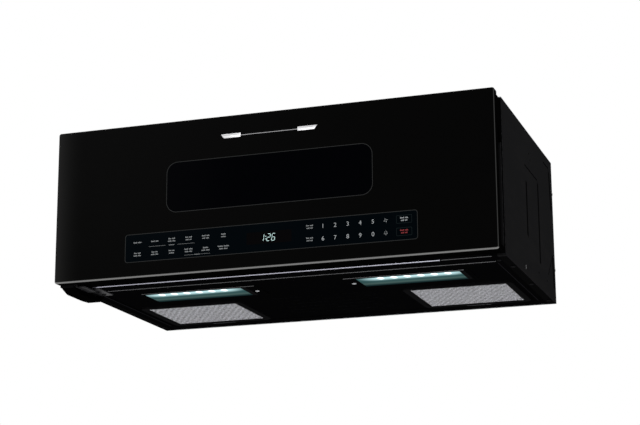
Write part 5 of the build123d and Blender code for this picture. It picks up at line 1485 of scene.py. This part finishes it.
@dataclass
class ControlPrint(SubAssembly):
    """The marks on and behind the control glass: key lines, digits, symbols, boxes and the clock.

    Marks give the widths of a key's lines from the top. A bracket's row gives its left and right end, its
    height and the width of its break.
    """

    glass_front: float = -466.7
    ink: float = 0.05
    key_columns: tuple[float, ...] = (-228.0, -197.0, -167.0, -137.0, -107.0, -76.0)
    key_rows: tuple[float, float] = (55.5, 35.5)
    upper_marks: tuple[tuple[float, ...], ...] = (
        (15.5,), (13.0,), (12.5, 14.0), (12.5, 10.5), (13.0, 12.0), (9.0, 8.5),
    )
    lower_marks: tuple[tuple[float, ...], ...] = (
        (12.0, 13.5), (11.5, 13.5), (11.0, 9.5), (14.5, 14.0), (10.0, 15.5), (19.5, 14.5),
    )
    tick_pitch: float = 1.3
    tick_width: float = 0.85
    tick_heights: tuple[float, float] = (1.7, 2.3)
    tall_every: int = 4
    gap_over: int = 7
    line_leading: float = 4.1
    brackets: tuple[tuple[float, ...], ...] = ((-207.5, -126.5, 47.2, 21.0), (-144.5, -99.0, 27.8, 12.0))
    bracket_stroke: float = 0.28
    bracket_pitch: float = 1.1
    bracket_tick: tuple[float, float] = (0.7, 1.1)
    digit_columns: tuple[float, ...] = (94.0, 114.5, 135.3, 156.0, 177.0)
    digit_rows: tuple[float, float] = (57.0, 36.5)
    digit_height: float = 7.2
    digit_thinning: float = 0.004
    capital_share: float = 0.73
    symbol_column: float = 198.0
    symbol_stroke: float = 0.5
    blade_start: float = 0.7
    blade_length: float = 3.0
    blade_widths: tuple[float, float] = (0.95, 0.35)
    blade_turn: float = 0.3
    bulb_size: float = 2.6
    bulb_corner: float = 1.29
    bulb_drop: float = 1.9
    word_column: float = 71.5
    word_marks: tuple[float, float] = (12.0, 10.5)
    box_size: tuple[float, float] = (25.5, 13.0)
    box_stroke: float = 0.55
    box_corner: float = 1.2
    box_places: tuple[tuple[float, float], ...] = ((228.2, 56.7), (228.0, 36.6))
    box_marks: tuple[float, float] = (14.0, 11.0)
    clock_size: tuple[float, float] = (5.2, 11.5)
    clock_base: float = 40.2
    clock_slant: float = 0.16
    clock_inset: float = 0.55
    clock_stroke: float = 0.7
    clock_digits: tuple[tuple[str, float], ...] = (("bc", -12.6), ("abged", -1.6), ("afgedc", 6.6))
    colon_column: float = -4.1
    colon_levels: tuple[float, float] = (0.3, 0.66)
    colon_size: float = 1.1
    shade_size: tuple[float, float] = (77.0, 20.0)
    shade_place: tuple[float, float] = (2.5, 46.0)
    shade_corner: float = 1.0
    shade_thickness: float = 0.04

    def build(self) -> None:
        """Prints each ink as one piece on the door."""
        inks: dict[str, list[Surface]] = {
            "key_ink": self._keys(), "digit_ink": [], "stop_ink": [], "box_ink": [], "clock_light": self._clock(),
        }
        for (x, z), ink in zip(self.box_places, ("digit_ink", "stop_ink")):
            outline = rounded_rectangle(*self.box_size, self.box_corner)
            inks["box_ink"].append(self._ring(outline, x, z, self.box_stroke))
            inks[ink] += self._lines(x, z, self.box_marks)
        for ink, surfaces in inks.items():
            self._print(Surface.joined(surfaces), f"control_{ink}", ink)
        self._print(self._digits(), "control_digits", "digit_ink")
        (x, z), (width, height) = self.shade_place, self.shade_size
        outline, half = rounded_rectangle(width, height, self.shade_corner), self.shade_thickness / 2
        shade = slab(outline, -half, half)
        self._print(shade.placed(FACING_FRONT, (x, self.glass_front, z)), "display_shade", "display_tint")

    def _print(self, surface: Surface, name: str, ink: str) -> None:
        """Writes a mark as a piece of the door's control glass."""
        self.write(surface, name, "door", "control_tint", ink)

    def _on_glass(self, surface: Surface) -> Surface:
        """Stands a flat drawing, x to the right and y up, on the glass."""
        return surface.placed(FACING_FRONT, (0.0, self.glass_front, 0.0))

    def _bar(self, x: float, z: float, width: float, height: float) -> Surface:
        """Draws one upright rectangle about a centre."""
        outline = rectangle(x - width / 2, z - height / 2, x + width / 2, z + height / 2)
        return self._on_glass(slab(outline, 0.0, self.ink))

    def _ring(self, outline: np.ndarray, x: float, z: float, width: float) -> Surface:
        """Draws a closed line of a width just inside an outline about a centre."""
        profile = np.array([[0.0, 0.0], [0.0, self.ink], [-width, self.ink], [-width, 0.0]])
        return self._on_glass(hoop(outline, profile).placed(UPRIGHT, (x, z, 0.0)))

    def _stroke(self, start: tuple[float, float], end: tuple[float, float], width: float) -> Surface:
        """Draws a straight stroke.

        Args:
            start: Its one end.
            end: Its other end.
            width: Its width.

        Returns:
            The stroke, with square ends.
        """
        a, b = np.array(start), np.array(end)
        along = (b - a) / np.linalg.norm(b - a)
        aside = np.array([-along[1], along[0]]) * width / 2
        return self._on_glass(slab(np.array([a - aside, b - aside, b + aside, a + aside]), 0.0, self.ink))

    def _keys(self) -> list[Surface]:
        """Draws all that is printed in the keys' ink.

        Returns:
            The keys' lines, the brackets under groups of keys, the words and the two symbols.
        """
        marks = []
        for row, line_sets in zip(self.key_rows, (self.upper_marks, self.lower_marks)):
            for column, widths in zip(self.key_columns, line_sets):
                marks += self._lines(column, row, widths)
        for bracket in self.brackets:
            marks += self._bracket(*bracket)
        for row in self.digit_rows:
            marks += self._lines(self.word_column, row, self.word_marks)
        marks += self._fan_symbol(self.symbol_column, self.digit_rows[0])
        return marks + self._lamp_symbol(self.symbol_column, self.digit_rows[1])

    def _lines(self, x: float, z: float, widths: tuple[float, ...]) -> list[Surface]:
        """Draws lines of small upright ticks that stand in for a key's words.

        Args:
            x: Middle of the mark.
            z: Middle of the mark.
            widths: One width for each line, from the top.

        Returns:
            One bar for each tick; a few are taller, and a long line has a gap at its middle.
        """
        low, tall = self.tick_heights
        bars = []
        for number, width in enumerate(widths):
            level = z + ((len(widths) - 1) / 2 - number) * self.line_leading
            count = int(width / self.tick_pitch)
            for tick in range(count):
                if count > self.gap_over and tick == count // 2:
                    continue
                height = tall if (tick + number) % self.tall_every == 0 else low
                place = x + (tick - (count - 1) / 2) * self.tick_pitch
                bars.append(self._bar(place, level + (height - low) / 2, self.tick_width, height))
        return bars

    def _bracket(self, left: float, right: float, z: float, gap: float) -> list[Surface]:
        """Draws the thin line under a group of keys, broken at its middle by a row of ticks.

        Args:
            left: Its left end.
            right: Its right end.
            z: Its height.
            gap: The break's width.

        Returns:
            Both halves of the line and the ticks.
        """
        middle, side = (left + right) / 2, (right - left - gap) / 2
        lines = [self._bar(x, z, side, self.bracket_stroke) for x in (left + side / 2, right - side / 2)]
        return lines + [self._bar(middle + self.bracket_pitch * k, z, *self.bracket_tick) for k in range(-4, 5)]

    def _fan_symbol(self, x: float, z: float) -> list[Surface]:
        """Draws four swept blades: a blade's width is a sine along its length, and less of it lies behind.

        Args:
            x: Middle of the symbol.
            z: Middle of the symbol.

        Returns:
            The blades.
        """
        t = np.linspace(0, 1, 9)
        along = self.blade_start + self.blade_length * t
        ahead, share_behind = self.blade_widths
        width = ahead * np.sin(math.pi * t)
        upper = np.column_stack([along, width])
        lower = np.column_stack([along, -share_behind * width])[-2:0:-1]
        petal = np.concatenate([upper, lower])
        blades = []
        for quarter in range(4):
            a = quarter * math.pi / 2 + self.blade_turn
            turn = np.array([[math.cos(a), math.sin(a)], [-math.sin(a), math.cos(a)]])
            blades.append(self._on_glass(slab(petal @ turn + [x, z], 0.0, self.ink)))
        return blades

    def _lamp_symbol(self, x: float, z: float) -> list[Surface]:
        """Draws a lamp shade and its stem as four strokes, with a bulb's ring below.

        Args:
            x: Middle of the symbol.
            z: Middle of the symbol.

        Returns:
            The ring and the strokes.
        """
        ends = (
            ((-2.7, -0.9), (-1.0, 2.9)), ((2.7, -0.9), (1.0, 2.9)),
            ((-2.9, -1.0), (2.9, -1.0)), ((0.0, 2.9), (0.0, 4.1)),
        )
        circle = rounded_rectangle(self.bulb_size, self.bulb_size, self.bulb_corner)
        bulb = self._ring(circle, x, z - self.bulb_drop, self.symbol_stroke)
        return [bulb] + [
            self._stroke((x + a[0], z + a[1]), (x + b[0], z + b[1]), self.symbol_stroke) for a, b in ends
        ]

    def _clock(self) -> list[Surface]:
        """Lights the clock's seven-segment digits 1:26 as slanted strokes.

        Returns:
            The lit segments, lettered a to g as usual, and the colon's two points.
        """
        (wide, full), base, inset = self.clock_size, self.clock_base, self.clock_inset
        half = full / 2
        ends = {
            "a": ((inset, full), (wide - inset, full)), "g": ((inset, half), (wide - inset, half)),
            "d": ((inset, 0.0), (wide - inset, 0.0)), "f": ((0.0, half + inset), (0.0, full - inset)),
            "b": ((wide, half + inset), (wide, full - inset)), "e": ((0.0, inset), (0.0, half - inset)),
            "c": ((wide, inset), (wide, half - inset)),
        }
        strokes = []
        for segments, left in self.clock_digits:
            for segment in segments:
                start, end = ((left + x + self.clock_slant * z, base + z) for x, z in ends[segment])
                strokes.append(self._stroke(start, end, self.clock_stroke))
        for level in self.colon_levels:
            x, z = self.colon_column + self.clock_slant * full * level, base + full * level
            strokes.append(self._bar(x, z, self.colon_size, self.colon_size))
        return strokes

    def _digits(self) -> Surface:
        """Prints the digits 1 to 5 and 6 to 0 as thin raised letters."""
        rows = zip(self.digit_rows, ("12345", "67890"))
        return Surface.joined([self._digit(d, x, z) for z, row in rows for x, d in zip(self.digit_columns, row)])

    def _digit(self, digit: str, x: float, z: float) -> Surface:
        """Cuts one digit from the plain built-in typeface and centres it on a key.

        Args:
            digit: The digit.
            x: The key's middle.
            z: The key's middle.

        Returns:
            The digit, standing on the glass.
        """
        curve = bpy.data.curves.new("digit", "FONT")
        curve.body = digit
        curve.size = self.digit_height / self.capital_share
        curve.offset = -self.digit_thinning * curve.size
        curve.extrude = self.ink / 2
        holder = bpy.data.objects.new("digit", curve)
        mesh = bpy.data.meshes.new_from_object(holder)
        points = np.empty(3 * len(mesh.vertices), np.float32)
        mesh.vertices.foreach_get("co", points)
        points = points.reshape(-1, 3).astype(float)
        faces = [list(face.vertices) for face in mesh.polygons]
        bpy.data.meshes.remove(mesh)
        bpy.data.objects.remove(holder)
        bpy.data.curves.remove(curve)
        middle = (points.min(axis=0) + points.max(axis=0)) / 2
        points = points - middle + [x, z, self.ink / 2]
        return self._on_glass(Surface(points, np.zeros((0, 4), int), faces))


@dataclass
class DoorTrim(SubAssembly):
    """Thin lighter borders round the window and the control glass: a painted highlight on the edge of each opening.

    An opening's row gives the border's name, the glass, how much of it the panel hides, and the corner.
    """

    glass_front: float = -466.7
    bead: float = 0.45
    bead_height: float = 0.28
    openings: tuple[tuple[str, str, float, float], ...] = (
        ("window_border", "window_glass", 8.2, 19.0),
        ("control_border", "control_glass", 4.2, 5.0),
    )

    def build(self) -> None:
        """Carries a half-round bead round each opening, in the step between glass and panel, in a lighter colour
        that paints the edge's highlight.
        """
        angle = np.linspace(0, math.pi, 6)
        profile = np.column_stack([self.bead * np.cos(angle) - self.bead, self.bead_height * np.sin(angle)])
        for name, node, hidden, corner in self.openings:
            low, high, middle = box_of(node)
            width, _, height = high - low - 2 * hidden
            ring = hoop(rounded_rectangle(width, height, corner, 12), profile)
            ring = ring.placed(FACING_FRONT, (middle[0], self.glass_front, middle[2]))
            self.write(ring, name, "door", "gloss_black", "border_highlight")


@dataclass
class Badge(SubAssembly):
    """The plain badge bar: two bright slant-ended plaques joined by a dark strip with a fine bead."""

    plaque_length: float = 34.0
    slant: float = 5.0
    edge: float = 0.3
    rim: float = 0.5
    bevel: float = 0.8
    sunk: float = 0.55
    strip_height: float = 4.6
    strip_rise: float = 0.7
    strip_lap: float = 0.4
    strip_corner: float = 0.4
    bead_radius: float = 0.45
    bead_drop: float = 0.4
    bead_steps: int = 24

    def build(self) -> None:
        """Builds the plaques, the strip and the bead in the CAD bar's box."""
        low, high, middle = box_of("badge_bar")
        half_length, _, half_height = (high - low) / 2
        inner = half_length - self.plaque_length
        plaques = [self._plaque(half_length, half_height, high[1] - low[1], sign) for sign in (-1.0, 1.0)]
        outline = rounded_rectangle(2 * inner + self.strip_lap, self.strip_height, self.strip_corner, 3)
        strip = slab(outline, 0.0, self.strip_rise)
        ends = [(side * inner, -self.bead_drop, self.strip_rise) for side in (-1.0, 1.0)]
        bead = tube(np.linspace(*ends, self.bead_steps), self.bead_radius, 8)
        for part, surface, finish in (
            ("plaques", Surface.joined(plaques), "bright_trim"),
            ("strip", strip, "dark_plastic"),
            ("bead", bead, "bright_trim"),
        ):
            surface = surface.placed(FACING_FRONT, (middle[0], high[1], middle[2]))
            self.write(surface, f"badge_{part}", "door", "bright_trim", finish, "badge_bar")

    def _plaque(self, half_length: float, half_height: float, rise: float, sign: float) -> Surface:
        """Stacks shrunken copies of a slant-ended outline: up the wall, over the rim, down to a sunk face.

        Args:
            half_length: Half the bar's length.
            half_height: Half its height.
            rise: How far it stands off the door.
            sign: -1 for the left plaque and 1 for the right.

        Returns:
            The plaque, drawn with x along the bar and y up it.
        """
        inner, low, high = half_length - self.plaque_length, -half_height * sign, half_height * sign
        outline = sign * np.array([
            [inner, low], [half_length - self.slant, low], [half_length, high], [inner, high],
        ])
        centre = outline.mean(axis=0)
        rim_end = self.edge + self.rim
        levels = (
            (0.0, 0.0), (0.0, rise - self.edge), (self.edge, rise), (rim_end, rise),
            (rim_end + self.bevel, rise - self.sunk),
        )
        loops = []
        for inset, height in levels:
            share = 1 - inset / np.array([self.plaque_length / 2, half_height])
            loops.append(np.column_stack([centre + (outline - centre) * share, np.full(4, height)]))
        return Surface.stacked(np.concatenate(loops), len(levels), 4)


@dataclass
class BaseTrim(SubAssembly):
    """Rolled hems and small blocks under the cabinet.

    A hem's row gives its name, its two ends, its steps, radius, sides and width, and its finish. A
    block's row gives its name, two opposite corners, its reach in Z and its finish.
    """

    hems: tuple[tuple[str, Place, Place, int, float, int, float, str], ...] = (
        ("front_hem", (-357.0, -403.0, 1.0), (268.0, -403.0, 1.0), 60, 1.0, 10, 1.35, "bright_hem"),
        ("front_hem_end", (270.0, -403.2, 1.0), (352.0, -403.2, 1.0), 60, 0.7, 10, 1.0, "dull_hem"),
        ("recess_hem", (-350.0, -365.2, 1.0), (350.0, -365.2, 1.0), 60, 0.6, 10, 1.2, "dull_hem"),
        ("left_lamp_hem", (-79.0, -318.2, 2.0), (-286.0, -318.2, 2.0), 40, 0.55, 8, 1.4, "dull_hem"),
        ("left_recess_hem", (-351.0, -355.0, 1.0), (-351.0, -40.0, 1.0), 40, 0.5, 8, 1.0, "faint_hem"),
        ("right_lamp_hem", (79.0, -318.2, 2.0), (286.0, -318.2, 2.0), 40, 0.55, 8, 1.4, "dull_hem"),
        ("right_recess_hem", (351.0, -355.0, 1.0), (351.0, -40.0, 1.0), 40, 0.5, 8, 1.0, "faint_hem"),
    )
    blocks: tuple[tuple[str, tuple[float, ...], tuple[float, float], str], ...] = (
        ("hinge_cover_nose", (-373.6, -452.6, -350.0, -428.0), (-7.0, -3.1), "dark_plastic"),
        ("left_lens_clip", (-106.5, -309.8, -98.0, -247.2), (1.9, 2.15), "filter_black"),
        ("right_lens_clip", (276.5, -309.8, 284.0, -247.2), (1.9, 2.15), "filter_black"),
    )

    def build(self) -> None:
        """Rolls each hem as a capped tube that stands half out of the sheet, and adds the blocks."""
        for name, start, end, steps, radius, sides, width, finish in self.hems:
            hem = tube(np.linspace(start, end, steps), radius, sides, width)
            self.write(hem, name, "cabinet", "black_enamel", finish)
        for name, corners, reach, finish in self.blocks:
            self.write(slab(rectangle(*corners), *reach), name, "cabinet", "dark_plastic", finish)


@dataclass
class Diodes(SubAssembly):
    """Light-emitting domes under each lamp board."""

    first: float = 140.0
    pitch: float = 23.3
    count: int = 6
    row: float = -286.0
    face: float = 4.8
    radius: float = 1.5
    point_radius: float = 0.05
    rise: float = 0.25
    sides: int = 12

    def build(self) -> None:
        """Turns one dome for each diode and joins them to one piece."""
        lift = np.linspace(0, math.pi / 2, 6)[1:-1]
        radii = np.concatenate([[self.radius], self.radius * np.cos(lift), [self.point_radius]])
        heights = np.concatenate([[0.0], self.rise * np.sin(lift), [self.rise]])
        dome = lathed(radii, heights, self.sides)
        places = [sign * (self.first + number * self.pitch) for sign in (-1.0, 1.0) for number in range(self.count)]
        domes = [dome.placed(FACING_DOWN, (x, self.row, self.face)) for x in places]
        self.write(Surface.joined(domes), "lamp_diodes", "cabinet", "lamp_board", "diode_light")


@dataclass
class Turntable(SubAssembly):
    """The glass tray: a turned dish with a rolled rim and rings pressed in its floor."""

    thickness: float = 3.4
    wall_start: float = 18.0
    wall_reach: float = 13.0
    wall_thinning: float = 1.0
    lip_margin: float = 0.2
    foot_edge: float = 30.0
    floor_edge: float = 24.0
    hub_radius: float = 12.0
    point_radius: float = 0.5
    ring_height: float = 0.35
    ring_turns: float = 0.45
    sides: int = 96

    def build(self) -> None:
        """Turns the tray from its CAD box: flat floor, curved wall, rounded lip, rings as a sine of radius."""
        low, high, centre = box_of("glass_tray")
        radius, bottom, top = (high[0] - low[0]) / 2, low[2], high[2]
        step = np.linspace(0, math.pi / 2, 9)
        wall_r = radius - self.wall_start + self.wall_reach * np.sin(step)
        wall_h = bottom + (top - bottom - self.thickness) * (1 - np.cos(step))
        lip, round_off = np.linspace(-math.pi / 2, math.pi / 2, 7), self.thickness / 2
        lip_r = radius - round_off + round_off * np.cos(lip)
        lip_h = top - round_off + round_off * np.sin(lip)
        inner_r = wall_r[::-1] - self.wall_thinning
        inner_h = np.minimum(wall_h[::-1] + self.thickness, top - self.lip_margin)
        floor_r = np.linspace(radius - self.floor_edge, self.hub_radius, 40)
        floor_h = bottom + self.thickness + self.ring_height * np.maximum(0, np.sin(floor_r * self.ring_turns))
        point = self.point_radius
        radii = np.concatenate([[point, radius - self.foot_edge], wall_r, lip_r, inner_r, floor_r, [point]])
        heights = np.concatenate([
            [bottom, bottom], wall_h, lip_h, inner_h, floor_h, [bottom + self.thickness],
        ])
        tray = lathed(radii, heights, self.sides).placed(UPRIGHT, (centre[0], centre[1], 0.0))
        self.write(tray, "turned_glass_tray", "tray", "clear_glass", "clear_glass", "glass_tray")


@dataclass
class LatchSpring(SubAssembly):
    """The latch's coil spring, wound as a helix between its seats."""

    wire: float = 0.45
    turns: int = 9
    steps_in_turn: int = 20
    sides: int = 8
    travel: float = 4.0

    def build(self) -> None:
        """Winds the wire, point(s) = (R cos s, R sin s, climb(s)) with flat end turns."""
        low, high, centre = box_of("latch_spring")
        radius = (high[0] - low[0]) / 2 - self.wire
        wound = self.turns + 2
        s = np.linspace(0, 2 * math.pi * wound, wound * self.steps_in_turn)
        climb = np.clip(s / (2 * math.pi) - 1, 0, self.turns) / self.turns
        z = low[2] + self.wire + climb * (high[2] - low[2] - 2 * self.wire)
        path = np.column_stack([centre[0] + radius * np.cos(s), centre[1] + radius * np.sin(s), z])
        coil = tube(path, self.wire, self.sides)
        piece = self.write(coil, "latch_coil", "door", "spring_steel", "spring_steel", "latch_spring")
        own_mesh(piece)


def main() -> None:
    """Builds the studio and each sub-assembly in order."""
    logging.basicConfig(level=logging.INFO, format="%(name)s: %(message)s")
    bpy.context.scene.view_settings.view_transform = "Standard"
    shop = FinishShop()
    Studio().build()
    CadFinishes(shop).build()
    for side in ("left", "right"):
        GreaseFilter(shop, side).build()
    Screws(shop, "case_screws", "cabinet").build()
    Screws(shop, "door_screws", "door").build()
    for kind in (ControlPrint, DoorTrim, Badge, BaseTrim, Diodes, Turntable, LatchSpring):
        kind(shop).build()


if __name__ == "__main__":
    main()
